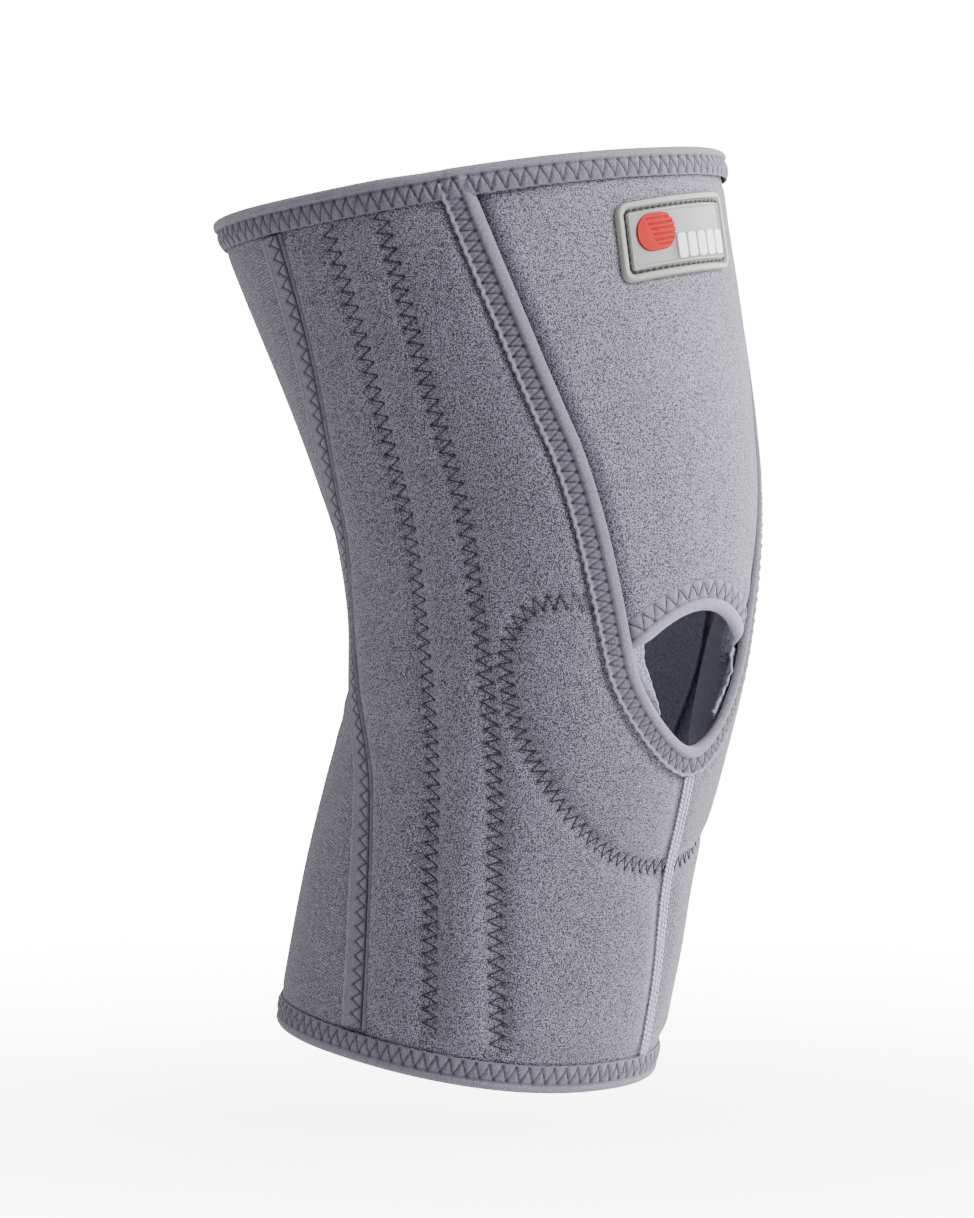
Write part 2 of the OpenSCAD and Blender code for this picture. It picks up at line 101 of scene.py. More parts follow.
def at(values, s):
    """Smooth curve through the values at the stations."""
    v = np.asarray(values, float)
    slopes = np.empty_like(v)
    slopes[1:-1] = (v[2:] - v[:-2]) / (STATIONS[2:] - STATIONS[:-2])
    slopes[0] = (v[1] - v[0]) / (STATIONS[1] - STATIONS[0])
    slopes[-1] = (v[-1] - v[-2]) / (STATIONS[-1] - STATIONS[-2])
    i = np.clip(np.searchsorted(STATIONS, s, side="right") - 1, 0, len(v) - 2)
    h = STATIONS[i + 1] - STATIONS[i]
    t = (s - STATIONS[i]) / h
    return (
        (2 * t**3 - 3 * t**2 + 1) * v[i]
        + (t**3 - 2 * t**2 + t) * h * slopes[i]
        + (3 * t**2 - 2 * t**3) * v[i + 1]
        + (t**3 - t**2) * h * slopes[i + 1]
    )


BEND_RATE = (THIGH_LEAN + CALF_LEAN) / (2 * BEND_REACH) * DEG
KNEE_LEAN = (THIGH_LEAN - CALF_LEAN) / 2 * DEG


def leg_line(s):
    """y, z and lean of the leg's middle line, bent to an arc at the knee."""
    c = np.clip(s, -BEND_REACH, BEND_REACH)
    lean = KNEE_LEAN + BEND_RATE * c
    y = (math.cos(KNEE_LEAN) - np.cos(lean)) / BEND_RATE + (s - c) * np.sin(lean)
    z = (np.sin(lean) - math.sin(KNEE_LEAN)) / BEND_RATE + (s - c) * np.cos(lean)
    return y, z, lean


def radius(a, s):
    """Radius of the section at s, a degrees from the front."""
    cos, sin = np.cos(a * DEG), np.sin(a * DEG)
    front = cos >= 0
    n = np.where(front, FRONT_SQUARENESS, BACK_SQUARENESS)
    depth = np.where(front, at(FRONT_RADII, s), at(BACK_RADII, s))
    return ((np.abs(sin) / at(SIDE_RADII, s)) ** n + (np.abs(cos) / depth) ** n) ** (-1 / n)


def wall(q, s, d=0.0):
    """Points in mm, as an array with a last axis of 3."""
    q, s, d = np.broadcast_arrays(*(np.asarray(x, float) for x in (q, s, d)))
    a = q + at(TURNS, s)
    r = radius(a, s) + d
    y, z, lean = leg_line(s)
    front = r * np.cos(a * DEG)
    return np.stack(
        [r * np.sin(a * DEG), y - front * np.cos(lean), z + front * np.sin(lean)], axis=-1
    )


def per_q(q, s):
    """mm on the sleeve per degree of q."""
    return radius(q + at(TURNS, s), s) * DEG


def per_s(q, s):
    """mm on the sleeve per mm of s: more than 1 in front of the bend, less behind it."""
    a = q + at(TURNS, s)
    bent = 1 + BEND_RATE * radius(a, s) * np.cos(a * DEG)
    return np.where(np.abs(s) > BEND_REACH, 1.0, bent)


def mix(a, b, t):
    """a at t = 0 and b at t = 1."""
    return a + (b - a) * t


def smooth(a, b, x):
    """0 to 1 while x runs from a to b, eased at both ends."""
    t = np.clip((x - a) / (b - a), 0, 1)
    return t * t * (3 - 2 * t)


def bump(x, width):
    """1 at x = 0, fading out on both sides."""
    return np.exp(-((x / width) ** 2))


# ---- edges and lines, as in the CAD ----

def top_edge(q):
    return TOP_MID - TOP_DIP * np.cos((q + 20) * DEG)


def bottom_edge(q):
    return BOTTOM_MID + BOTTOM_RISE * np.cos((q + 15) * DEG)


def front_edge(s):
    """q of the side panels' front edge above the knee."""
    return OPENING_HALF + 0.21 * s - 0.0003 * s**2


LOW_EDGE = np.array(
    [[OPENING_HALF, 0], [OPENING_HALF - 2.6, -12], [OPENING_HALF / 3, OPENING_LOW], [0, OPENING_LOW]]
)


def low_edge(t):
    """Bound edge under the opening, from the knee line (0) to the centre (1): q, s."""
    t = np.asarray(t, float)[..., None]
    p = LOW_EDGE
    c = (1 - t) ** 3 * p[0] + 3 * (1 - t) ** 2 * t * p[1] + 3 * (1 - t) * t**2 * p[2] + t**3 * p[3]
    return c[..., 0], c[..., 1]


def hem_edge(q):
    """s of the front panel's arched lower edge."""
    return HEM_HIGH - 0.0155 * q**2


def front_half(s):
    """q of the front panel's edge, which lies under the side panel."""
    return front_edge(s) + 6 / per_q(40.0, s)


def front_face(q, s):
    """d of the front panel as it lies, drawn up close under the side panels."""
    inside = (front_edge(s) - np.abs(q)) * per_q(q, s)
    return mix(TUCKED, FLUSH, smooth(-2, 8, inside))


class Path:
    """A line on the sleeve, given by points (q, s) and read by its length in mm."""

    def __init__(self, q, s):
        self.q, self.s = np.asarray(q, float), np.asarray(s, float)
        p = wall(self.q, self.s)
        self.at_mm = np.concatenate([[0], np.cumsum(np.linalg.norm(np.diff(p, axis=0), axis=1))])
        self.length = self.at_mm[-1]
        self.tree = None

    def place(self, mm, w=0.0):
        """(q, s) at a length along the path, w mm to its left."""
        mm, w = np.broadcast_arrays(np.asarray(mm, float), np.asarray(w, float))
        q, s = np.interp(mm, self.at_mm, self.q), np.interp(mm, self.at_mm, self.s)
        h = 0.8
        q0, q1 = np.interp(mm - h, self.at_mm, self.q), np.interp(mm + h, self.at_mm, self.q)
        s0, s1 = np.interp(mm - h, self.at_mm, self.s), np.interp(mm + h, self.at_mm, self.s)
        gq, gs = per_q(q, s), per_s(q, s)
        dx, dy = (q1 - q0) * gq, (s1 - s0) * gs
        n = np.maximum(np.hypot(dx, dy), 1e-9)
        return q - w * dy / n / gq, s + w * dx / n / gs

    def points(self, mm, w=0.0, d=0.0):
        q, s = self.place(mm, w)
        return wall(q, s, d)

    def nearest(self, points):
        """For each point, the length along the path and the distance, of the path's nearest place."""
        if self.tree is None:
            self.samples = np.arange(0, self.length, 0.4)
            self.tree = KDTree(len(self.samples))
            for i, sample in enumerate(self.points(self.samples)):
                self.tree.insert(sample, i)
            self.tree.balance()
        found = [self.tree.find(p)[1:] for p in points.reshape(-1, 3)]
        index = np.array([f[0] for f in found])
        gap = np.array([f[1] for f in found])
        shape = points.shape[:-1]
        return self.samples[index].reshape(shape), gap.reshape(shape)


def line_path(side, values, s0, s1, inset=0.0):
    """Line along the leg at the values' angles, inset mm toward the back."""
    s = np.linspace(s0, s1, 400)
    q = side * (at(values, s) + inset / per_q(side * at(values, s), s))
    return Path(q, s)


def opening_path():
    """The bound edge from the lateral top, round under the opening, to the medial top."""
    s_up = np.linspace(0, 1, 260)
    lateral_s = mix(top_edge(-50.0) - 1, 0, s_up)
    medial_s = mix(0, top_edge(50.0) - 1, s_up)
    t = np.linspace(0, 1, 90)[1:]
    lq, ls = low_edge(t)
    mq, ms = low_edge(t[::-1][1:])
    q = np.concatenate([-front_edge(lateral_s), -lq, mq, front_edge(medial_s)])
    s = np.concatenate([lateral_s, ls, ms, medial_s])
    return Path(q, s)


PAD_CORNER, PAD_MID, PAD_POWER = 15, -6, 2 / 2.15


def pad_corner(a):
    """q, s on the rounded upper corner of the pad: 90 degrees on top, 0 at its widest."""
    a = a * DEG
    return PAD_HALF - PAD_CORNER + PAD_CORNER * np.cos(a), PAD_MID + (PAD_HIGH - PAD_MID) * np.sin(a)


def pad_bow(a):
    """q, s on the pad's lower bow: 0 degrees at its widest, 90 at the centre line."""
    a = a * DEG
    q = PAD_HALF * np.maximum(np.cos(a), 0) ** PAD_POWER
    return q, PAD_MID + (PAD_LOW - PAD_MID) * np.sin(a) ** PAD_POWER


def pad_outline(side):
    q1, s1 = pad_corner(np.linspace(90, 0, 40))
    q2, s2 = pad_bow(np.linspace(0, 90, 120)[1:])
    q0 = np.linspace(front_edge(13.0) + 7, q1[0], 12)[:-1]
    s0 = np.full_like(q0, PAD_HIGH)
    return Path(side * np.concatenate([q0, q1, q2]), np.concatenate([s0, s1, s2]))


# ---- stitches ----

def tri(x):
    """Triangle wave between -1 and 1 with period 1."""
    return 4 * np.abs((x - 0.25) % 1 - 0.5) - 1


def zigzag(start, end, pitch, swing):
    """Places along a zigzag: mm, w and share, which is 0 at a needle hole and 1 between two."""
    turns = int((end - start) / pitch)
    x = np.linspace(0, turns, turns * 12 + 1)
    return start + x * pitch, swing / 2 * tri(x + 0.25), np.abs(np.sin(2 * np.pi * x))


def zigzag_gap(x, w, pitch, swing):
    """Distance in mm to a zigzag that starts with a hole at x = 0, and to its nearest hole."""
    h = np.abs((x + pitch / 2) % pitch - pitch / 2)
    up = w - swing / 2
    t = np.clip((h * pitch / 2 - up * swing) / (pitch**2 / 4 + swing**2), 0, 1)
    gap = np.hypot(h - t * pitch / 2, up + t * swing)
    hole = np.minimum(np.hypot(h, up), np.hypot(h - pitch / 2, w + swing / 2))
    return gap, hole


def soft_noise(q, s, seed, size):
    """Slow unevenness of the fabric, -1 to 1, from a few sine waves."""
    waves = np.random.default_rng(seed)
    total = 0
    for k in range(6):
        fq, fs = waves.uniform(-1, 1, 2)
        phase = waves.uniform(0, 2 * np.pi)
        total = total + np.sin((q * 1.05 * fq + s * fs) * 2 * np.pi / size * (1 + 0.3 * k) + phase)
    return total / 4


# ---- meshes ----

def new_object(name, verts, quads, materials, material_index=None):
    """Mesh of quads from points in mm."""
    mesh = bpy.data.meshes.new(name)
    mesh.vertices.add(len(verts))
    mesh.vertices.foreach_set("co", (np.asarray(verts) * MM).astype(np.float32).ravel())
    n = len(quads)
    mesh.loops.add(4 * n)
    mesh.polygons.add(n)
    mesh.loops.foreach_set("vertex_index", np.asarray(quads, np.int32).ravel())
    mesh.polygons.foreach_set("loop_start", np.arange(0, 4 * n, 4, dtype=np.int32))
    mesh.polygons.foreach_set("use_smooth", np.full(n, True))
    for m in materials:
        mesh.materials.append(m)
    if material_index is not None:
        mesh.polygons.foreach_set("material_index", np.asarray(material_index, np.int32))
    mesh.update(calc_edges=True)
    mesh.validate()
    piece = bpy.data.objects.new(name, mesh)
    bpy.context.scene.collection.objects.link(piece)
    return piece


def add_values(piece, name, values):
    """Gives each point a number or a vector that materials can read."""
    kind = "FLOAT_VECTOR" if np.asarray(values).ndim == 2 else "FLOAT"
    key = "vector" if kind == "FLOAT_VECTOR" else "value"
    attribute = piece.data.attributes.new(name, kind, "POINT")
    attribute.data.foreach_set(key, np.asarray(values, np.float32).ravel())


def shell(name, outer, inner, materials, loop=False, cloth=None, painted_shading=None):
    """Closed sheet between two grids of points. Rows run along the first axis; loop closes it.

    cloth gives fabric's places in mm for its ribs, and painted_shading the painted shade and painted highlight
    that multiply the colour of its outer face.
    """
    rows, cols = outer.shape[:2]
    last = rows if loop else rows - 1
    ids = np.arange(rows * cols).reshape(rows, cols)
    low = ids + rows * cols
    i = np.arange(last)
    nxt = (i + 1) % rows

    def quads(a, b, c, d):
        return np.stack([a.ravel(), b.ravel(), c.ravel(), d.ravel()], axis=1)

    top = quads(ids[i, :-1], ids[i, 1:], ids[nxt, 1:], ids[nxt, :-1])
    under = quads(low[i, :-1], low[nxt, :-1], low[nxt, 1:], low[i, 1:])
    rim0 = quads(ids[i, 0], ids[nxt, 0], low[nxt, 0], low[i, 0])
    rim1 = quads(ids[nxt, -1], ids[i, -1], low[i, -1], low[nxt, -1])
    faces, kinds = [top, under, rim0, rim1], [0, 1, 0, 0]
    if not loop:
        faces += [
            quads(ids[0, 1:], ids[0, :-1], low[0, :-1], low[0, 1:]),
            quads(ids[-1, :-1], ids[-1, 1:], low[-1, 1:], low[-1, :-1]),
        ]
        kinds += [0, 0]
    quad_list = np.concatenate(faces)
    index = np.concatenate([np.full(len(f), k) for f, k in zip(faces, kinds)])
    if len(materials) == 1:
        index[:] = 0
    verts = np.concatenate([outer.reshape(-1, 3), inner.reshape(-1, 3)])
    # outward faces: the sheet's outer side looks away from its inner side
    row, col = rows // 2, cols // 2
    step = 1 if col + 1 < cols else -1
    a, b, c = outer[row, col], outer[row, col + step], outer[(row + 1) % rows, col]
    if np.dot(np.cross(b - a, c - a) * step, a - inner[row, col]) < 0:
        quad_list = quad_list[:, ::-1]
    piece = new_object(name, verts, quad_list, materials, index)
    if cloth is not None:
        plain = np.ones(rows * cols)
        add_values(piece, "cloth", np.tile(cloth.reshape(-1, 3), (2, 1)))
        add_values(piece, "painted_shading", np.concatenate([plain if painted_shading is None else painted_shading.ravel(), plain]))
    return piece


def closed_tubes(name, bodies, material):
    """One piece made of tubes. Each is an array of rings of points, closed at both ends by a fan."""
    verts, faces, count = [], [], 0
    for body in bodies:
        rings, sides = body.shape[:2]
        verts += [body.reshape(-1, 3), body[[0, -1]].mean(axis=1)]
        i, j = np.arange(rings - 1)[:, None] * sides + count, np.arange(sides)[None, :]
        a, b = i + j, i + (j + 1) % sides
        faces.append(np.stack([a, b, b + sides, a + sides], -1).reshape(-1, 4))
        hub, j = count + rings * sides, np.arange(0, sides, 2)
        for first, order in ((count, -1), (hub - sides, 1)):
            rim = [first + j, first + j + 1, first + (j + 2) % sides][::order]
            faces.append(np.stack([np.full_like(j, hub)] + rim, -1))
            hub += 1
        count = hub
    return new_object(name, np.concatenate(verts), np.concatenate(faces), [material])


TUBE_HUB = np.array([0, 30.0, 0])      # a point that no thread runs straight at


def tubes(name, lines, radii, material, sides=6):
    """Round threads. Each line is an array of points, each radius a number or a list."""
    angle = np.arange(sides)[None, :, None] / sides * 2 * np.pi
    bodies = []
    for line, r in zip(lines, radii):
        tangent = np.gradient(line, axis=0)
        tangent /= np.maximum(np.linalg.norm(tangent, axis=1, keepdims=True), 1e-9)
        side = np.cross(tangent, line - TUBE_HUB)
        side /= np.maximum(np.linalg.norm(side, axis=1, keepdims=True), 1e-9)
        over = np.cross(side, tangent)
        ring = np.cos(angle) * side[:, None, :] + np.sin(angle) * over[:, None, :]
        bodies.append(line[:, None, :] + ring * np.broadcast_to(r, len(line))[:, None, None])
    return closed_tubes(name, bodies, material)


# ---- swelling fabric ----

SIM_ROWS, SIM_COLS = 5, 3              # the simulated sheet keeps every nth row and column
SIM_FRAMES, SIM_PRESSURE = 20, 5000.0
SIM_TENSION, SIM_SHEAR, SIM_BEND = 5.0, 2.0, 0.1


def kept(count, step):
    """Every nth number below count, and the last."""
    return np.append(np.arange(0, count - 1, step), count - 1)


def grid_quads(rows, cols):
    ids = np.arange(rows * cols).reshape(rows, cols)
    return np.stack([ids[:-1, :-1], ids[:-1, 1:], ids[1:, 1:], ids[1:, :-1]], -1).reshape(-1, 4)


def upsample(values, rows, cols, row_step, col_step):
    """Values on every nth row and column, spread over the whole grid."""
    wide = np.stack([np.interp(np.arange(cols), kept(cols, col_step), v) for v in values])
    return np.stack([np.interp(np.arange(rows), kept(rows, row_step), v) for v in wide.T]).T


def simulated_swell(q, s, pinned):
    """Cloth simulation of the panel held at its seams: how far pressure lifts it, in mm."""
    rows, cols = q.shape
    pick = np.ix_(kept(rows, SIM_ROWS), kept(cols, SIM_COLS))
    q_, s_ = q[pick], s[pick]
    start = wall(q_, s_)
    out = wall(q_, s_, 1.0) - start
    r, c = q_.shape
    quads = grid_quads(r, c)
    if np.dot(np.cross(start[0, 1] - start[0, 0], start[1, 1] - start[0, 0]), out[0, 0]) < 0:
        quads = quads[:, ::-1]
    sheet = new_object("swelling_panel", start.reshape(-1, 3), quads, [])
    held = sheet.vertex_groups.new(name="held")
    share = pinned[pick].ravel()
    for i in np.flatnonzero(share > 0.02):
        held.add([int(i)], float(share[i]), "REPLACE")
    cloth = sheet.modifiers.new("swell", "CLOTH")
    settings = cloth.settings
    settings.vertex_group_mass = "held"
    settings.tension_stiffness = settings.compression_stiffness = SIM_TENSION
    settings.shear_stiffness, settings.bending_stiffness = SIM_SHEAR, SIM_BEND
    settings.use_pressure, settings.uniform_pressure_force = True, SIM_PRESSURE
    settings.effector_weights.gravity = 0
    cloth.point_cache.frame_start, cloth.point_cache.frame_end = 1, SIM_FRAMES
    scene = bpy.context.scene
    for frame_number in range(1, SIM_FRAMES + 1):
        scene.frame_set(frame_number)
    mesh = sheet.evaluated_get(bpy.context.evaluated_depsgraph_get()).data
    end = np.empty(r * c * 3, np.float32)
    mesh.vertices.foreach_get("co", end)
    moved = end.reshape(r, c, 3) / MM - start
    scene.frame_set(1)
    bpy.data.objects.remove(sheet)
    rise = np.maximum((moved * out).sum(-1), 0)
    return upsample(rise, rows, cols, SIM_ROWS, SIM_COLS)


# ---- materials ----

class Nodes:
    """Small helper to build a material's node tree."""

    def __init__(self, name, **inputs):
        self.material = bpy.data.materials.new(name)
        self.material.use_nodes = True
        self.tree = self.material.node_tree
        self.shader = self.tree.nodes["Principled BSDF"]
        self.place = self.add("ShaderNodeTexCoord").outputs["Object"]
        for key, value in inputs.items():
            self.shader.inputs[key.replace("_", " ")].default_value = value

    def add(self, kind, **values):
        node = self.tree.nodes.new(kind)
        for key, value in values.items():
            if key in node.inputs.keys():
                node.inputs[key].default_value = value
            else:
                setattr(node, key, value)
        return node

    def link(self, a, b):
        self.tree.links.new(a, b)

    def put(self, value, socket):
        """Links an output to the socket, or sets the socket to a value."""
        if hasattr(value, "links"):
            self.link(value, socket)
        else:
            socket.default_value = value

    def texture(self, kind, vector=None, **values):
        node = self.add("ShaderNodeTex" + kind, **values)
        self.link(vector or self.place, node.inputs["Vector"])
        return node.outputs["Distance" if kind == "Voronoi" else "Fac"]

    def math(self, operation, a, b, clamp=False):
        node = self.add("ShaderNodeMath", operation=operation, use_clamp=clamp)
        self.put(a, node.inputs[0])
        self.put(b, node.inputs[1])
        return node.outputs[0]

    def blend(self, a, share_a, b, share_b):
        """share_a times a plus share_b times b."""
        return self.math("ADD", self.math("MULTIPLY", a, share_a), self.math("MULTIPLY", b, share_b))

    def ramp(self, value, zero, one):
        """0 to 1 while the value runs from zero to one."""
        node = self.add("ShaderNodeMapRange", **{"From Min": zero, "From Max": one})
        self.link(value, node.inputs["Value"])
        return node

    def mix_colour(self, factor, a, b, **values):
        node = self.add("ShaderNodeMix", data_type="RGBA", **values)
        for k, x in ((0, factor), (6, a), (7, b)):
            self.put(x, node.inputs[k])
        return node.outputs[2]

    def attribute(self, name):
        return self.add("ShaderNodeAttribute", attribute_name=name)

    def finish(self, colour, height=None, bump_mm=0.0, strength=1.0):
        """Gives the shader its colour and its bumps."""
        self.link(colour, self.shader.inputs["Base Color"])
        if height is not None:
            relief = self.add("ShaderNodeBump", Strength=strength, Distance=bump_mm * MM)
            self.link(height, relief.inputs["Height"])
            self.link(relief.outputs[0], self.shader.inputs["Normal"])
        return self.material


def grey(level, tint=(1.0, 1.0, 1.0)):
    return (level * tint[0], level * tint[1], level * tint[2], 1.0)


NEUTRAL = (1.0, 0.96, 1.2)
BLUISH = (0.98, 0.98, 1.24)


def fabric(name, light, dark, grain=0.3, contrast=1.0, tint=NEUTRAL, rib=None, rib_share=0.35,
           along="X", bump_mm=0.16, holes=False, ribbed_shin=False):
    """Knit over neoprene: light and dark loops at the size of grain in mm, with fine bump."""
    n = Nodes(name, Roughness=0.95, Specular_IOR_Level=0.2, Sheen_Weight=0.25, Sheen_Roughness=0.5)
    fine = n.texture("Noise", Scale=1000 / grain, Detail=2.0, Roughness=0.6)
    loops = n.texture("Voronoi", Scale=1000 / (grain * 1.35), Randomness=0.9)
    broad = n.texture("Noise", Scale=45.0, Detail=3.0)
    speck = n.ramp(n.blend(fine, 1.25, loops, -0.55), 0.37 - 0.12 / contrast, 0.37 + 0.16 / contrast)
    slow = n.math("MULTIPLY", n.math("SUBTRACT", broad, 0.5), 0.2)
    factor = n.math("ADD", speck.outputs[0], slow, clamp=True)
    height = n.blend(fine, 0.7, loops, -0.6)
    if rib:
        wave = n.texture(
            "Wave", n.attribute("cloth").outputs["Vector"], wave_type="BANDS", bands_direction=along,
            Scale=0.314 / rib, Distortion=3.0, Detail=1.0, **{"Detail Scale": 0.7}
        )
        ridge, share = wave, rib_share
        if ribbed_shin:
            on_shin = shin_share(n)
            ridge, share = n.math("MULTIPLY", wave, on_shin), n.math("MULTIPLY", on_shin, rib_share)
            factor = n.math("ADD", factor, n.math("MULTIPLY", share, 0.4), clamp=True)
        height = n.blend(height, 0.5, ridge, 0.6)
        dip = n.math("MULTIPLY", n.math("SUBTRACT", 1.0, wave), share)
        factor = n.math("SUBTRACT", factor, dip, clamp=True)
    colour = n.mix_colour(factor, grey(dark, tint), grey(light, tint))
    if holes:
        # painted shade: dark dots in the pinhole dimples, which the bump also presses in
        dots = n.texture("Voronoi", Scale=1000 / 6.5, Randomness=0.55)
        hole = n.math("LESS_THAN", dots, 0.085)
        colour = n.mix_colour(n.math("MULTIPLY", hole, 0.5), colour, grey(dark * 0.45, tint))
        height = n.math("SUBTRACT", height, n.math("MULTIPLY", hole, 0.8))
    # painted shade and painted highlight from each piece's own values multiply the colour
    painted_shading = n.attribute("painted_shading").outputs["Fac"]
    colour = n.mix_colour(1.0, colour, painted_shading, blend_type="MULTIPLY")
    return n.finish(colour, height, bump_mm, strength=0.85)


def shin_share(n):
    """1 on the shin, fading out toward the side of the leg and above the knee."""
    parts = n.add("ShaderNodeSeparateXYZ")
    n.link(n.place, parts.inputs[0])
    down = n.ramp(parts.outputs["Z"], 0.002, -0.012).outputs[0]
    return n.math("MULTIPLY", down, n.ramp(parts.outputs["Y"], -0.018, -0.03).outputs[0])


def thread(name, level):
    """Twisted sewing thread."""
    n = Nodes(name, Roughness=0.6)
    twist = n.texture("Noise", Scale=2500.0, Detail=1.0)
    colour = n.mix_colour(twist, grey(level * 0.6, NEUTRAL), grey(level * 1.5, NEUTRAL))
    return n.finish(colour, twist, bump_mm=0.05)


def moulded(name, colour, rough=0.55, grain_mm=0.25, bump_mm=0.02, shine=0.5):
    """Soft moulded rubber with a faint grain and dusty variation."""
    n = Nodes(name, Specular_IOR_Level=shine)
    grain = n.texture("Noise", Scale=1000 / grain_mm, Detail=2.0)
    dust = n.texture("Noise", Scale=220.0, Detail=4.0)
    n.link(n.math("ADD", n.math("MULTIPLY", dust, 0.2), rough - 0.1), n.shader.inputs["Roughness"])
    return n.finish(n.mix_colour(dust, grey(0.88, colour), grey(1, colour)), grain, bump_mm)


def steel(name, rough):
    n = Nodes(name, Metallic=1.0)
    streak = n.texture("Noise", Scale=900.0, Detail=3.0)
    n.link(n.math("ADD", n.math("MULTIPLY", streak, 0.15), rough), n.shader.inputs["Roughness"])
    return n.finish(n.mix_colour(streak, grey(0.45), grey(0.68)))


def plain_floor(name):
    """Pale floor that also gives light of its own, which only the camera sees, weaker near the knee: a painted
    soft shadow round the part.
    """
    n = Nodes(name, Roughness=0.9)
    n.finish(n.mix_colour(n.texture("Noise", Scale=3.0, Detail=2.0), grey(0.86), grey(0.9)))
    far = n.add("ShaderNodeVectorMath", operation="LENGTH")
    n.link(n.place, far.inputs[0])
    # painted shadow: the glow rises from FLOOR_GLOW by the knee to near BACKDROP far off
    glow_with_painted_shadow = n.ramp(far.outputs["Value"], 0.05, 0.7)
    glow_with_painted_shadow.interpolation_type = "SMOOTHSTEP"
    glow_with_painted_shadow.inputs["To Min"].default_value = FLOOR_GLOW
    glow_with_painted_shadow.inputs["To Max"].default_value = BACKDROP - 0.8
    seen = n.add("ShaderNodeLightPath").outputs["Is Camera Ray"]
    glow = n.add("ShaderNodeEmission", Color=(1, 1, 1, 1))
    n.link(n.math("MULTIPLY", seen, glow_with_painted_shadow.outputs[0]), glow.inputs["Strength"])
    both = n.add("ShaderNodeAddShader")
    n.link(n.shader.outputs[0], both.inputs[0])
    n.link(glow.outputs[0], both.inputs[1])
    n.link(both.outputs[0], n.tree.nodes["Material Output"].inputs["Surface"])
    return n.material


M = {
    "side": fabric("plush_side", 0.335, 0.042, contrast=1.9, holes=True),
    "medial": fabric("plush_medial", 0.38, 0.07, contrast=1.8, holes=True, rib=0.85, rib_share=0.4,
                     ribbed_shin=True),
    "front": fabric("plush_front", 0.425, 0.067, contrast=1.9, holes=True),
    "back": fabric("fine_back", 0.37, 0.09, grain=0.36, contrast=1.4, rib=0.95, rib_share=0.45, along="Y"),
    "tape": fabric("binding_tape", 0.25, 0.13, contrast=0.6, bump_mm=0.06),
    "hem": fabric("hem_tape", 0.32, 0.2, contrast=0.6, bump_mm=0.06),
    "lining": fabric("loop_lining", 0.62, 0.25, grain=0.45, tint=BLUISH, bump_mm=0.25),
    "inner": fabric("inner_knit", 0.5, 0.3, grain=0.4, contrast=0.7, tint=BLUISH, rib=0.9),
    "pocket": fabric("pocket_knit", 0.42, 0.24, grain=0.4, contrast=0.7, tint=BLUISH, rib=1.1),
    "foam": moulded("pad_foam", (0.06, 0.06, 0.07), rough=0.9, grain_mm=0.6, bump_mm=0.1),
    "thread": thread("dark_thread", 0.014),
    "tape_thread": thread("tape_thread", 0.05),
    "light_thread": thread("light_thread", 0.6),
    "steel": steel("stay_steel", 0.25),
    "cap": steel("cap_steel", 0.12),
    "badge": moulded("badge_rubber", (0.37, 0.39, 0.33)),
    "badge_field": moulded("badge_field_rubber", (0.29, 0.305, 0.295)),
    "red": moulded("badge_red", (0.46, 0.006, 0.006), rough=0.6, shine=0.15),
    "white": moulded("badge_white", (0.86, 0.87, 0.86), rough=0.45),
}

# ---- lines shared by several pieces ----

def line_ends(side, gap):
    """s of the upper and the lower end of a stay's line, gap mm from the cuffs' edges."""
    return float(top_edge(side * 80.0)) - gap, float(bottom_edge(side * 60.0)) + gap


OPENING = opening_path()
PAD = {side: pad_outline(side) for side in (LATERAL, MEDIAL)}
STAY_LINES = (("front", FRONT_LINE), ("rear", REAR_LINE))
LINES = {
    (side, key): line_path(side, values, *line_ends(side, TAPE_W + 1))
    for side in (LATERAL, MEDIAL)
    for key, values in STAY_LINES
}


def line_gap(q, s, side, values):
    """Distance in mm from a line, positive toward the back of the leg."""
    return (side * q - at(values, s)) * per_q(q, s)


def stitch_relief(x, w, pitch, swing, puff=0.35):
    """Depth of the fabric round a zigzag of thread, in mm, and the painted shade at its needle holes."""
    gap, hole = zigzag_gap(x, w, pitch, swing)
    inside = smooth(swing / 2 + 1.8, swing / 2 - 0.6, np.abs(w))
    d = puff * inside * smooth(0.1, 1.6, gap) - 0.35 * bump(hole, 0.9)
    return d, 1 - 0.45 * bump(hole, 0.85)


def cuff_relief(q, s):
    """Panel drawn in by the cuff tapes: depth, and painted shade along the tapes' raw edges."""
    top_gap, low_gap = top_edge(q) - s, s - bottom_edge(q)
    d = -0.4 * (1 - smooth(7, 14, top_gap)) - 0.4 * (1 - smooth(7, 14, low_gap))
    # painted shade: dark lines along the tapes' raw edges
    painted_shading = (1 - 0.45 * bump(top_gap - 7.9, 0.5)) * (1 - 0.5 * bump(low_gap - 7.9, 0.5))
    return d, painted_shading


def free_of_cuffs(q, s):
    """0 under the cuff tapes, 1 where the panel swells freely."""
    return smooth(7.8, 16, top_edge(q) - s) * smooth(7.8, 16, s - bottom_edge(q))


def pad_distance(q, s, side):
    """Distance in mm from the pad's outline, negative over the pad, and the length along it."""
    pad = PAD[side]
    pad_mm, gap = pad.nearest(wall(q, s))
    order = np.argsort(pad.s)
    reach = np.interp(s, pad.s[order], (pad.q * side)[order])
    inside = (side * q < reach) & (s < PAD_HIGH) & (s > PAD_LOW) & (side * q > 0)
    return np.where(inside, -gap, gap), pad_mm


def held_share(q, s, side):
    """1 where seams hold the side panel down, 0 where it is free to swell."""
    lines = [np.abs(line_gap(q, s, side, values)) for values in (REAR_LINE, FRONT_LINE)]
    lines.append(np.abs(pad_distance(q, s, side)[0]))
    held = [smooth(4.4, 2.8, gap) for gap in lines]
    held.append(smooth(7, 5, np.abs(line_gap(q, s, side, REAR_SEAM))))
    held.append(smooth(12, 8.5, OPENING.nearest(wall(q, s))[1]))
    held.append(np.where(s < OPENING_LOW, smooth(6, 3, np.abs(q) * per_q(q, s)), 0))
    held.append(1 - free_of_cuffs(q, s))
    return np.maximum.reduce(held)


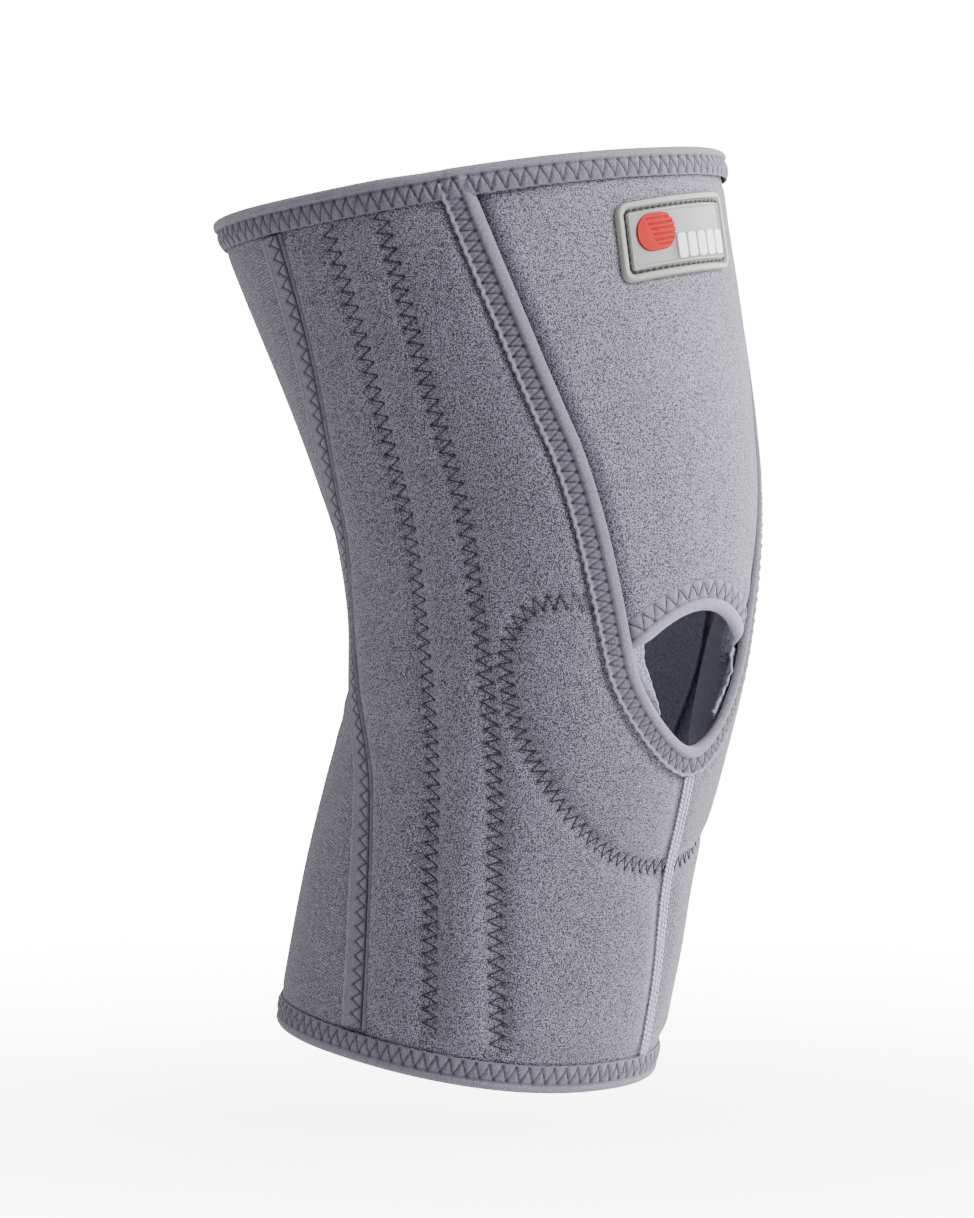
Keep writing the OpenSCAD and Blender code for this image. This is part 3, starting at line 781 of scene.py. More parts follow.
def side_relief(q, s, side, swell=0.0):
    """How far a side panel's face stands out in mm, its painted shade, and its gap to the opening."""
    gap_rear = line_gap(q, s, side, REAR_LINE)
    gap_front = line_gap(q, s, side, FRONT_LINE)
    gap_seam = -line_gap(q, s, side, REAR_SEAM)
    edge_mm, edge = OPENING.nearest(wall(q, s))
    low = smooth(25, -70, s)
    pad_gap, pad_mm = pad_distance(q, s, side)
    # fabric swells between its stitches, most of all low down and over the pad
    most = np.where(gap_front > 0, mix(0.9, 2.3, low), mix(0.5, 1.6, low))
    most = np.where(pad_gap < 0, 1.9 if side < 0 else 1.1, most)
    d = most * np.tanh(swell / most)
    wide = mix(2.8, 4.2, low)
    d = d - mix(0.4, 1.5, low) * (bump(gap_rear, wide) + bump(gap_front, wide)) - 0.9 * bump(pad_gap, 2.8)
    d = d + 0.4 * soft_noise(q, s, 11 if side < 0 else 12, 70)
    # the binding, the seams and the cuffs hold the panel down
    centre = np.where(s < OPENING_LOW, np.abs(q) * per_q(q, s), 99)
    d = d * smooth(7.4, 12.5, edge) * free_of_cuffs(q, s) * (1 - bump(centre, 5.5))
    d = d - 0.35 * (1 - smooth(6, 11, edge)) - 0.7 * bump(gap_seam, 5) - 0.35 * bump(centre, 3.5)
    wave = np.sin(edge_mm / OPENING_TAPE.pitch * 2 * np.pi)
    d = d + 0.2 * wave * bump(edge - 9.2, 1.4)
    # painted shade along the opening binding's raw edge, beside the centre seam and at the rear seam tape's
    # edge; the stitch lines below add painted shade at their needle holes
    painted_shading = (1 - 0.5 * bump(edge - 8.4, 0.6)) * (1 - 0.35 * bump(centre - 3.1, 0.6))
    painted_shading = painted_shading * (1 - 0.5 * bump(gap_seam - 4.6, 0.5))
    for key, gap in (("rear", gap_rear), ("front", gap_front)):
        path = LINES[(side, key)]
        x = np.interp(-s, -path.s, path.at_mm)
        depth, shade = stitch_relief(x, side * gap, CHANNEL_PITCH, CHANNEL_SWING, mix(0.25, 0.5, low))
        inside = (x > 0.5) & (x < path.length - 0.5)
        d, painted_shading = d + depth * inside, painted_shading * np.where(inside, shade, 1)
    depth, shade = stitch_relief(pad_mm, side * pad_gap, PAD_PITCH, PAD_SWING)
    cuff_d, cuff_painted_shading = cuff_relief(q, s)
    return d + depth + cuff_d, painted_shading * shade * cuff_painted_shading, edge


# ---- panels ----

SURFACES = {}              # search tree of each side panel's outer face


def search_tree(grid):
    """Search tree of a grid of points, for laid_on."""
    return BVHTree.FromPolygons(grid.reshape(-1, 3).tolist(), grid_quads(*grid.shape[:2]).tolist())


def laid_on(tree, q, s):
    """Points THREAD_LIFT mm over a panel's outer face at q, s."""
    points = []
    for a, b in zip(wall(q, s, 6.0), wall(q, s, 5.0)):
        ray = Vector(b - a)
        hit = tree.ray_cast(Vector(a), ray)[0] or Vector(a) + 6 * ray
        points.append(np.array(hit - ray * THREAD_LIFT))
    return np.array(points)


def spaced(n, crowd=0.6):
    """0 to 1 in n steps, closer together at both ends."""
    t = np.linspace(0, 1, n + 1)
    return mix(t, (1 - np.cos(np.pi * t)) / 2, crowd)


def side_grid(side):
    """q and s of a side panel: rows from thigh to calf, columns from the front edge to the seam."""
    n_up, n_round, n_down = 260, 80, 180
    up = np.linspace(float(top_edge(side * 50.0)) - 0.1, 0, n_up)
    rq, rs = low_edge(np.linspace(0, 1, n_round)[1:])
    down = np.linspace(OPENING_LOW, float(bottom_edge(0.0)) + 0.1, n_down)[1:]
    fq = np.concatenate([front_edge(up), rq, np.zeros_like(down)]) + 0.12
    fs = np.concatenate([up, rs, down])
    low = float(bottom_edge(side * 100.0)) + 0.1
    back = np.concatenate([
        np.linspace(float(top_edge(side * 100.0)) - 0.1, 0, n_up),
        np.linspace(0, -36, n_round)[1:],
        np.linspace(-36, low, n_down)[1:],
    ])
    u = np.concatenate([0.5 * spaced(84)[:-1], 0.5 + 0.25 * spaced(40)[:-1], 0.75 + 0.25 * spaced(44)])
    ease = smooth(0, 0.5, u)
    s = mix(fs[:, None], back[:, None], ease[None, :])
    rows = len(fs)
    edge_share = np.linspace(0, 1, rows)[:, None]
    f_line, r_line, seam = at(FRONT_LINE, s), at(REAR_LINE, s), at(REAR_SEAM, s) - 0.3
    uu = np.broadcast_to(u[None, :], s.shape)
    fore = mix(fq[:, None], f_line, uu / 0.5)
    middle = mix(f_line, r_line, (uu - 0.5) / 0.25)
    aft = mix(r_line, seam, (uu - 0.75) / 0.25)
    q = side * np.where(uu < 0.5, fore, np.where(uu < 0.75, middle, aft))
    # the first and the last rows follow the cuffs' edges
    top_fix = top_edge(q) - 0.1 - s[0][None, :]
    low_fix = bottom_edge(q) + 0.1 - s[-1][None, :]
    s = s + top_fix * smooth(0.35, 0, edge_share) + low_fix * smooth(0.7, 1, edge_share)
    return q, s


def fabric_coords(q, s):
    """Places on the cloth in mm, on a leg of mean radius."""
    return np.stack([q * 60 * DEG, s, np.zeros_like(s)], -1)


def stand_for(nodes):
    if nodes:
        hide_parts(*nodes)


def bend(piece, *nodes, slot):
    """The piece stands for nodes, which are hidden, and its transform is baked into its mesh."""
    stand_for(nodes)
    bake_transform(piece)


def hold(piece, *nodes, slot):
    """The piece stands for nodes and rides the thigh without bending."""
    stand_for(nodes)
    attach(piece, "thigh")


def make_side_panels():
    for side, word in SIDES:
        q, s = side_grid(side)
        swell = simulated_swell(q, s, held_share(q, s, side))
        d, painted_shading, edge = side_relief(q, s, side, swell)
        outer = wall(q, s, d)
        SURFACES[side] = search_tree(outer)
        inner = wall(q, s, -PANEL_T + 0.5 * np.minimum(d, 0.5) + PINCH * (1 - smooth(1, 9, edge)))
        face = M["side" if side == LATERAL else "medial"]
        piece = shell(word + "_side_panel", outer, inner, [face, M["inner"]],
                      cloth=fabric_coords(q, s), painted_shading=painted_shading)
        bend(piece, word + "_panel_upper", word + "_panel_lower", slot="neoprene_side")


def back_relief(q, s):
    """How far the back panel's face stands out in mm, and its darkening."""
    from_seam = (180 - np.abs(q % 360 - 180) - at(REAR_SEAM, s)) * per_q(q, s)
    hollow = bump(s, 34)
    crease = np.sin(s * 0.42 + 1.3 * np.sin(q * 0.07)) * hollow * smooth(6, 20, from_seam)
    d, painted_shading = cuff_relief(q, s)
    d = d + 0.35 * soft_noise(q, s, 21, 80) - 0.5 * bump(from_seam, 5) + 0.45 * crease
    return d, painted_shading


def make_back_panel():
    v = np.linspace(0, 1, 330)[:, None]
    u = np.linspace(0, 1, 120)[None, :]
    q = np.broadcast_to(mix(110.0, 250.0, u), (330, 120))
    for _ in range(4):
        s = mix(top_edge(q) - 0.1, bottom_edge(q) + 0.1, v)
        seam = at(REAR_SEAM, s) + 0.3
        q = mix(seam, 360 - seam, u)
    s = mix(top_edge(q) - 0.1, bottom_edge(q) + 0.1, v)
    d, painted_shading = back_relief(q, s)
    piece = shell("rear_panel", wall(q, s, d), wall(q, s, -PANEL_T), [M["back"], M["inner"]],
                  cloth=fabric_coords(q, s), painted_shading=painted_shading)
    bend(piece, "back_panel_upper", "back_panel_lower", slot="neoprene_back")


def make_front_panel():
    v = np.linspace(0, 1, 240)[:, None]
    u = np.linspace(-1, 1, 190)[None, :]
    q = u * front_half(0.0)
    for _ in range(5):
        s = mix(hem_edge(q) + 0.1, top_edge(q) - 0.1, v)
        q = u * front_half(s)
    s = mix(hem_edge(q) + 0.1, top_edge(q) - 0.1, v)
    inside = (front_edge(s) - np.abs(q)) * per_q(q, s)
    d = front_face(q, s) + 0.6 * smooth(10, 30, inside) + 0.4 * soft_noise(q, s, 31, 80)
    hem_gap = (s - hem_edge(q)) * per_s(q, s)
    top_gap = top_edge(q) - s
    d = d - 0.7 * (1 - smooth(6, 13, hem_gap)) - 0.7 * (1 - smooth(7, 13, top_gap))
    d = d + 0.5 * bump(hem_gap - 14, 5) - 0.35 * badge_cover(q, s)
    # painted shade along the hem's and the thigh cuff's tape edges, beside the side panels' bound edges and
    # round the badge's rim
    painted_shading = (1 - 0.3 * bump(hem_gap - 7.4, 0.6)) * (1 - 0.3 * bump(top_gap - 8.0, 0.6))
    painted_shading = painted_shading * (1 - 0.4 * bump(inside - 2.8, 1.0)) * (1 - 0.45 * badge_rim_shadow(q, s))
    piece = shell("thigh_front_panel", wall(q, s, d), wall(q, s, d - FRONT_T), [M["front"], M["inner"]],
                  cloth=fabric_coords(q, s), painted_shading=painted_shading)
    bend(piece, "front_panel", slot="neoprene_front")


# ---- bindings ----

@dataclass
class Tape:
    """Sizes of a folded binding in mm. w is 0 at the panel's edge and negative on its face."""

    width: float = 7.7      # of the flat band, out to the raw edge
    roll: float = 2.5       # how far the roll stands past the panel's edge
    proud: float = 1.0      # rise of the roll over the panel's face
    cord: float = 0.0       # rise of a wavy raw edge
    level: float = 0.4      # rise of the band at its middle
    pitch: float = 3.5
    swing: float = 4.4
    centre: float = -4.3
    roll_highlight: float = 1.25     # painted highlight: how much lighter the roll is painted than the band
    pucker: float = 0.1     # fine creases across the band
    crossing_groove_shade: float = 0.0    # depth of the painted shade along a groove that crosses the zigzag

    def face(self, mm, w):
        """Height of the band over the panel's face, and its painted shading: shade at the thread, its holes, a
        crossing groove and the roll's foot, and a painted highlight on a raised raw edge.
        """
        gap, hole = zigzag_gap(mm, w - self.centre, self.pitch, self.swing)
        across = np.clip((w + self.width) / (self.width - 1.5), 0, 1)
        wave = np.sin(2 * np.pi * mm / self.pitch)
        d = 0.2 + self.level * np.sin(np.pi * across)
        d = d + 0.32 * smooth(0.1, 1.1, gap) * np.sin(np.pi * across)
        d = d - 0.2 * bump(gap, 0.4) - 0.4 * bump(hole, 0.6)
        d = d + self.pucker * np.sin(mm * 3.3 + 2.2 * np.sin(mm * 0.41)) * np.sin(np.pi * across)
        edge = bump(w + self.width - 0.5, 0.6)
        d = d + self.cord * edge * (1 + 0.4 * wave)
        other, _ = zigzag_gap(mm + self.pitch / 2, w - self.centre, self.pitch, self.swing)
        d = d - self.crossing_groove_shade * 0.3 * bump(other, 0.4)
        # painted shade at the thread, its holes, the crossing groove and the roll's foot; painted highlight on
        # a raised raw edge
        painted_shading = (1 - 0.28 * bump(gap, 0.4)) * (1 - 0.6 * bump(hole, 0.55))
        painted_shading = painted_shading * (1 - self.crossing_groove_shade * bump(other, 0.35))
        painted_shading = painted_shading * (1 - 0.35 * bump(w + 1.7, 0.35)) * (1 + 0.9 * edge * (self.cord > 0))
        return d, painted_shading


OPENING_TAPE = Tape(cord=0.55, pitch=3.5, swing=4.2, centre=-4.2, proud=1.1, crossing_groove_shade=0.3)
TOP_TAPE = Tape(pitch=4.5, swing=5.0, centre=-4.3, roll=2.3, proud=0.8)
LOW_TAPE = Tape(pitch=4.2, swing=4.6, centre=-4.4, roll=1.9, proud=0.6)
HEM_TAPE = Tape(width=7.3, pitch=4.3, swing=4.6, centre=-4.2, proud=0.9, level=0.3)


def inward(w, d, t):
    """The same section, t mm inside, for the tape's hidden face."""
    dw, dd = np.gradient(w, axis=1), np.gradient(d, axis=1)
    n = np.maximum(np.hypot(dw, dd), 1e-6)
    return w + t * dd / n, d - t * dw / n


def strip_coords(across, mm):
    """Places on a strip of cloth in mm."""
    return np.stack([across, np.broadcast_to(mm, across.shape), np.zeros_like(across)], -1)


def none(*place):
    return 0.0


def whole(*place):
    return 1.0


def tape_shell(name, path, tape, deep, lift, materials, loop, raise_by, slim):
    """Folded tape along a path: stitched band, roll round the edge, and a leg on the inside."""
    rows = int(path.length * 2.3)
    mm = np.linspace(0, path.length, rows, endpoint=not loop)[:, None]
    band_w = np.linspace(-tape.width, -1.5, 18)[None, :]
    turn = np.linspace(100, -100, 18)[None, :] * DEG
    inner_w = np.linspace(-1.5, -tape.width, 6)[None, :]
    edge_q, _ = path.place(mm)
    depth = deep(edge_q) if callable(deep) else np.full(mm.shape, float(deep))
    band_d, band_painted_shading = tape.face(mm, band_w)
    sway = 0.35 * tape.cord * np.cos(2 * np.pi * mm / tape.pitch) * bump(band_w + tape.width, 0.8)
    full = slim(edge_q) + 0 * mm
    roll_w = -0.4 + (tape.roll * full + 0.4) * np.cos(turn)
    roll_d = (depth / 2 + tape.proud * full) * np.sin(turn) - depth / 2
    inner_w, inner_d = np.broadcast_arrays(inner_w, -depth - 0.6)
    w = np.concatenate([band_w + sway, roll_w, inner_w], 1)
    d = np.concatenate([band_d, roll_d, inner_d], 1)
    # the roll and the inside leg are painted lighter by the roll's painted highlight
    painted_shading = np.concatenate([band_painted_shading, np.full((rows, roll_w.shape[1] + inner_w.shape[1]), tape.roll_highlight)], 1)
    layers = []
    for w_, d_ in ((w, d), inward(w, d, TAPE_T * 0.7)):
        q, s = path.place(np.broadcast_to(mm, w_.shape), w_)
        layers.append(wall(q, s, d_ + lift(q, s) + raise_by(mm)))
    return shell(name, *layers, materials, loop=loop, cloth=strip_coords(w, mm), painted_shading=painted_shading)


def tape_thread(path, tape, spare, lift, raise_by):
    """Zigzag thread that lies in the band of a binding: points in mm."""
    holes = math.ceil(spare / tape.pitch) * tape.pitch
    mm, w, share = zigzag(holes, path.length - spare, tape.pitch, tape.swing)
    w = w + tape.centre
    q, s = path.place(mm, w)
    return wall(q, s, tape.face(mm, w)[0] + lift(q, s) + raise_by(mm) + sunk(share))


def sunk(share):
    """Height of a thread's middle over its band: down in the needle holes, lying between them."""
    return mix(-0.25, THREAD_R * 0.9, smooth(0, 0.5, share))


def binding(name, nodes, path, tape, deep, material="tape", thread_name=None, thread="tape_thread", spare=0,
            lift=none, loop=False, raise_by=none, slim=whole):
    """A folded tape and its zigzag thread, which starts and ends spare mm from the path's ends.

    deep is the thickness of the panel's edge, lift the height of its face, raise_by a further rise
    along the path and slim the share of the roll's full size.
    """
    bend(tape_shell(name + "_binding", path, tape, deep, lift, [M[material]], loop, raise_by, slim), *nodes,
         slot="binding")
    line = tape_thread(path, tape, spare, lift, raise_by)
    bend(tubes((thread_name or name) + "_thread", [line], [THREAD_R], M[thread]), slot="binding")


def make_opening_binding():
    def slim(q):
        """The roll lies flatter on the medial side."""
        return mix(1.0, 0.45, smooth(-2, 20, q))

    nodes = ["opening_binding_" + word for word in ("lateral", "medial", "lower")]
    binding("opening_edge", nodes, OPENING, OPENING_TAPE, PANEL_T - PINCH, thread_name="opening_binding",
            spare=8, slim=slim)


def cuff_depth(q):
    """Thickness of the thigh's edge, more near the front, where two panels overlap."""
    a = np.abs((q + 180) % 360 - 180)
    return PANEL_T + 6.1 * (1 - smooth(58, 70, a))


FRONT_LAP = 53.0       # angle at which the front run of the thigh cuff's tape ends


def make_cuffs():
    q = np.linspace(-180, 180, 900)
    top = Path(q, top_edge(q))

    def lap(mm):
        """The front run of tape lies over the ends of the side runs."""
        here = np.interp(mm, top.at_mm, top.q)
        return 0.45 * smooth(-FRONT_LAP - 0.8, -FRONT_LAP + 0.2, here) * smooth(90, 70, here)

    binding("thigh_cuff", ["top_binding"], top, TOP_TAPE, cuff_depth, loop=True, raise_by=lap)
    bottom = Path(q[::-1], bottom_edge(q[::-1]))
    binding("calf_cuff", ["bottom_binding"], bottom, LOW_TAPE, PANEL_T, loop=True)


def make_hem():
    q = np.linspace(1, -1, 200) * (OPENING_HALF + 1.5)
    path = Path(q, hem_edge(q))

    def slim(q):
        """The roll runs out where it passes under the side panels."""
        return 1 - 0.85 * smooth(19, 28, np.abs(q))

    binding("front_hem", ["front_panel_hem"], path, HEM_TAPE, FRONT_T - 0.8, "hem", thread="thread",
            spare=2, lift=front_face, slim=slim)


# ---- seams ----

REAR_TAPE_HALF, REAR_STITCH_X = 4.9, 0.9


def make_rear_tapes():
    """Tape over the seam of side and back panel. x runs across it, toward the front of the leg."""
    for side, word in SIDES:
        s_top = float(top_edge(side * 103.0)) - TAPE_W - 0.8
        s = np.linspace(s_top, float(bottom_edge(side * 98.0)) + TAPE_W + 0.8, 500)
        path = Path(side * at(REAR_SEAM, s), s)
        x = np.linspace(-REAR_TAPE_HALF, REAR_TAPE_HALF, 34)[None, :]
        mm, x = np.broadcast_arrays(np.linspace(0, path.length, int(path.length * 2.2))[:, None], x)
        d, painted_shading = rear_tape_face(mm, x)
        q_, s_ = path.place(mm, -side * x)
        outer, inner = wall(q_, s_, d), wall(q_, s_, np.minimum(d - 0.3, 0.1) - 0.25)
        piece = shell(word + "_rear_seam_tape", outer, inner, [M["tape"]],
                      cloth=strip_coords(x, mm), painted_shading=painted_shading)
        bend(piece, word + "_seam_tape_upper", word + "_seam_tape_lower", slot="seam_tape")
        mm, w, share = zigzag(0, path.length, SEAM_PITCH, SEAM_SWING)
        x = w + REAR_STITCH_X
        line = path.points(mm, -side * x, rear_tape_face(mm, x)[0] + sunk(share))
        # painted shadow: a dark tube along the tape's front edge stands for the shadow in the gap there
        mm = np.linspace(0, path.length, 400)
        shadow_line = path.points(mm, -side * 3.7, 0.42 + 0.05 * np.sin(mm * 1.3))
        threads = tubes(word + "_rear_seam_thread_and_shadow_line", [line, shadow_line], [THREAD_R, 0.2], M["thread"])
        bend(threads, slot="seam_tape")


def rear_tape_face(mm, x):
    """Height of the rear seam tape over the panels, in mm, and its painted shading: shade at its stitches and
    in the groove by its front edge, a painted highlight on its raised rear edge.
    """
    gap, hole = zigzag_gap(mm, x - REAR_STITCH_X, SEAM_PITCH, SEAM_SWING)
    end = smooth(REAR_TAPE_HALF, REAR_TAPE_HALF - 0.7, np.abs(x))
    d = 0.55 + 0.45 * bump(x + 4.1, 0.6) + 0.25 * smooth(0.2, 1.1, gap) * bump(x - REAR_STITCH_X, 2.6)
    d = d - 0.2 * bump(gap, 0.4) - 0.4 * bump(hole, 0.6)
    d = d - 0.8 * bump(x - 3.5, 0.45) + 0.3 * bump(x - 4.4, 0.4)
    # painted shade at the stitches and in the front groove, painted highlight on the raised rear edge
    painted_shading = (1 - 0.28 * bump(gap, 0.4)) * (1 - 0.55 * bump(hole, 0.55))
    painted_shading = painted_shading * (1 - 0.93 * bump(x - 3.5, 0.42)) * (1 + 0.45 * bump(x + 4.1, 0.5))
    return d * end - 0.15 * (1 - end), painted_shading


def make_front_seam():
    """Flatlock: a low cord with three columns of light looped stitches."""
    s = np.linspace(OPENING_LOW - 8.2 / 1.4, float(bottom_edge(0.0)) + TAPE_W + 0.4, 300)
    path = Path(np.zeros_like(s), s)
    pitch = 1.65
    mm = np.linspace(0, path.length, int(path.length / pitch * 6))
    lines, radii = [], []
    for column in (-1.9, 0.0, 1.9):
        beat = np.abs(np.sin(np.pi * mm / pitch + column))
        w = column + 0.25 * np.sin(2 * np.pi * mm / pitch)
        lines.append(path.points(mm, w, 0.2 + 0.35 * beat))
        radii.append(0.22 + 0.26 * beat)
    for step in np.arange(0, path.length, pitch):
        across = np.linspace(-2.0, 2.0, 7)
        lines.append(path.points(np.full(7, step) + across * 0.2, across, 0.1))
        radii.append(np.full(7, 0.18))
    piece = tubes("shin_flatlock_seam", lines, radii, M["light_thread"])
    bend(piece, "front_seam", slot="flatlock")


def make_panel_threads():
    """Thread of the stay channels and of the pad's outline."""
    for side, word in SIDES:
        runs = [(LINES[(side, key)], CHANNEL_PITCH, CHANNEL_SWING, 0) for key in ("front", "rear")]
        runs.append((PAD[side], PAD_PITCH, PAD_SWING, PAD_PITCH * 2))
        lines, radii = [], []
        for path, pitch, swing, start in runs:
            mm, w, share = zigzag(start, path.length, pitch, swing)
            q, s = path.place(mm, w)
            lines.append(laid_on(SURFACES[side], q, s))
            radii.append(THREAD_R * (1.4 + 1.7 * (1 - smooth(0, 0.4, share))))
        bend(tubes(word + "_panel_threads", lines, radii, M["thread"]), slot="neoprene_side")


# ---- parts inside ----

WIRE_R, COIL_PITCH = 0.42, 2.4                   # of the spiral stays
STAY_GAP, CAP_GAP, CAP_LENGTH = 19, 18.85, 5     # from the cuffs' edges to the stays and their caps
STAY_LEVEL = UNDER_PANEL - STAY_T / 2


def make_stays():
    for side, word in SIDES:
        for key, values in STAY_LINES:
            s_top, s_low = line_ends(side, STAY_GAP)
            path = line_path(side, values, s_low, s_top, STAY_INSET)
            mm = np.linspace(0, path.length, int(path.length / COIL_PITCH * 10))
            lines = []
            for start, hand in ((0, 1), (np.pi, -1)):
                turn = mm / COIL_PITCH * 2 * np.pi + start
                w = (STAY_W / 2 - WIRE_R - 0.03) * np.cos(turn) * hand
                lines.append(path.points(mm, w, STAY_LEVEL + 0.3 * np.sin(turn)))
            piece = tubes(f"{word}_{key}_spiral_stay", lines, [WIRE_R, WIRE_R], M["steel"])
            bend(piece, f"{word}_{key}_stay", slot="stay_steel")


def squared(x):
    """Turns a circle's cosine or sine into a rounded square's."""
    return np.sign(x) * np.abs(x) ** 0.5


def make_stay_caps():
    a = np.linspace(0, 2 * np.pi, 24, endpoint=False)[None, :]
    for end, sign, word in ((0, 1, "upper"), (1, -1, "lower")):
        caps = []
        for side in (LATERAL, MEDIAL):
            for _, values in STAY_LINES:
                base = line_ends(side, CAP_GAP)[end]
                path = line_path(side, values, base, base + sign * CAP_LENGTH, STAY_INSET)
                mm = np.linspace(0, path.length, 14)[:, None]
                half = STAY_W / 2 * np.sqrt(1 - 0.75 * (mm / path.length) ** 2)
                d = STAY_LEVEL + STAY_T / 2 * squared(np.sin(a))
                caps.append(path.points(mm, half * squared(np.cos(a)), d))
        piece = closed_tubes(f"stay_end_caps_{word}", caps, M["cap"])
        bend(piece, f"stay_caps_{word}", slot="cap_steel")


def make_pockets():
    for side, word in SIDES:
        u = np.linspace(0, 1, 60)[None, :]
        s = np.linspace(TOP_MID - 16.0, BOTTOM_MID + 16.0, 200)[:, None]
        start = at(FRONT_LINE, s) - 2 / per_q(0.0, s)
        end = at(REAR_LINE, s) + 2 * STAY_INSET / per_q(side * 100.0, s)
        q, s = np.broadcast_arrays(side * mix(start, end, u), s)
        gaps = [line_gap(q, s, side, values) for _, values in STAY_LINES]
        d = UNDER_PANEL - STAY_T - CLEAR + 0.15 * sum(bump(gap, 1.5) for gap in gaps)
        # painted shade along the pockets' stitched lines
        painted_shading = 1 - 0.4 * sum(bump(gap, 0.8) for gap in gaps)
        piece = shell(word + "_stay_pocket", wall(q, s, d), wall(q, s, d - COVER_T), [M["pocket"]],
                      cloth=fabric_coords(q, s), painted_shading=painted_shading)
        bend(piece, word + "_stay_pocket_upper", word + "_stay_pocket_lower", slot="inner_knit")


def pad_grid(rows, cols, inner_gap, grow):
    """q and s over the pad: rows from one horn to the other, columns from the opening outward."""
    u = np.linspace(0, 1, rows)
    q, s = np.zeros((rows, cols)), np.zeros((rows, cols))
    for i, share in enumerate(u):
        side, t = (LATERAL, 2 * share) if share < 0.5 else (MEDIAL, 2 - 2 * share)
        near_q, near_s = pad_inner(t, inner_gap)
        far_q, far_s = pad_outer(t)
        far_s = far_s - (grow if far_s < 0 else 0) * (1 - far_q / PAD_HALF)
        far_q = far_q + grow * far_q / PAD_HALF
        v = np.linspace(0, 1, cols)
        q[i], s[i] = side * mix(near_q, far_q, v), mix(near_s, far_s, v)
    return q, s


def pad_outer(t, corner=0.25):
    """q, s on the pad's outer edge, from its horn (0) to the centre (1); the corner comes first."""
    if t < corner:
        return pad_corner(90 - 90 * t / corner)
    return pad_bow(90 * (t - corner) / (1 - corner))


def pad_edge(t):
    """q, s on the bound edge beside the pad, from its horn (0) to the centre (1)."""
    if t < 0.25:
        s = mix(PAD_HIGH - 1, 0, 4 * t)
        return float(front_edge(s)), float(s)
    q, s = low_edge((4 * t - 1) / 3)
    return float(q), float(s)


def pad_inner(t, gap):
    """q, s on the pad's inner edge, gap mm from the bound edge."""
    h = 0.01
    t = min(t, 1 - h)
    a, b, c = pad_edge(max(0, t - h)), pad_edge(t + h), pad_edge(t)
    gq, gs = float(per_q(c[0], c[1])), float(per_s(c[0], c[1]))
    dx, dy = (b[0] - a[0]) * gq, (b[1] - a[1]) * gs
    n = math.hypot(dx, dy)
    q, s = c[0] - gap * dy / n / gq, c[1] + gap * dx / n / gs
    if t >= 1 - 2 * h:
        q = 0
    return max(0, q), s


def make_pad():
    rows, cols = 120, 30
    q, s = pad_grid(rows, cols, PAD_INSET, -1)
    v = np.linspace(0, 1, cols)[None, :]
    thick = 1.2 + PAD_CROWN * np.maximum(0, np.sin(np.pi * v)) ** 0.6
    piece = shell("kneecap_support_pad", wall(q, s, UNDER_PANEL), wall(q, s, UNDER_PANEL - thick), [M["foam"]])
    bend(piece, "patella_buttress", slot="pad_foam")
    q, s = pad_grid(rows, cols, PAD_INSET - 0.6, 1)
    under = UNDER_PANEL - thick - CLEAR - 0.1
    piece = shell("pad_cover", wall(q, s, under), wall(q, s, under - COVER_T), [M["pocket"]],
                  cloth=fabric_coords(q, s))
    bend(piece, "buttress_cover", slot="inner_knit")


def make_linings():
    for side, word, high, wide in ((LATERAL, "lateral", 4.5, 5.8), (MEDIAL, "medial", 1.0, 1.6)):
        s = np.linspace(-14.5, high, 60)
        q = side * np.where(s < 0, low_edge(np.maximum(0, -s / 30))[0], front_edge(s))
        path = Path(q, s)
        v = np.linspace(0, 1, 22)[None, :]
        mm, v = np.broadcast_arrays(np.linspace(0, path.length, 60)[:, None], v)
        w = side * mix(-4.0, ROLL_W + wide * (mm / path.length) ** 0.8, v)
        free = smooth(1.5, 4.0, np.abs(w)) * (w * side > 0) * smooth(-1, -5, s[:, None])
        ruffle = 0.3 * bump(v - 1, 0.08) + 0.2 * np.sin(mm * 1.5) * v
        d = PINCH - PANEL_T - 4 * CLEAR - 0.4 + 1.5 * free + ruffle
        q_, s_ = path.place(mm, w)
        piece = shell(word + "_opening_lining", wall(q_, s_, d), wall(q_, s_, d - 0.8), [M["lining"]],
                      cloth=strip_coords(v * 8, mm))
        bend(piece, "opening_lining_" + word, slot="lining")


# ---- badge ----

BADGE_BASE = FLUSH + 0.35
BADGE_FRAME = (
    (math.cos(BADGE_TILT * DEG), -math.sin(BADGE_SLANT * DEG)),
    (math.sin(BADGE_TILT * DEG), math.cos(BADGE_SLANT * DEG)),
)
RIM_W, GROOVE_W = 2.0, 1.5             # of the badge's frame


def rounded_outline(l, h, r, count):
    """Evenly spaced points round a rounded rectangle."""
    corners = []
    for cx, cy, start in ((1, 1, 0), (-1, 1, 90), (-1, -1, 180), (1, -1, 270)):
        a = np.linspace(start, start + 90, 16) * DEG
        corners.append(np.stack([cx * (l / 2 - r) + r * np.cos(a), cy * (h / 2 - r) + r * np.sin(a)], -1))
    p = np.concatenate(corners + [corners[0][:1]])
    run = np.concatenate([[0], np.cumsum(np.hypot(*np.diff(p, axis=0).T))])
    even = np.linspace(0, run[-1], count, endpoint=False)
    return np.interp(even, run, p[:, 0]), np.interp(even, run, p[:, 1]), even


def badge_axes(q, s):
    """x and y in mm along the badge for a place on the front panel."""
    ax = (q - BADGE_Q) * per_q(BADGE_Q, BADGE_S)
    ay = s - BADGE_S
    (a, b), (c, e) = BADGE_FRAME
    area_share = a * e - b * c
    return (ax * e - ay * b) / area_share, (ay * a - ax * c) / area_share


def badge_place(x, y, d):
    """Points in mm for x, y along the badge."""
    (a, b), (c, e) = BADGE_FRAME
    return wall(BADGE_Q + (x * a + y * b) / per_q(BADGE_Q, BADGE_S), BADGE_S + x * c + y * e, d)


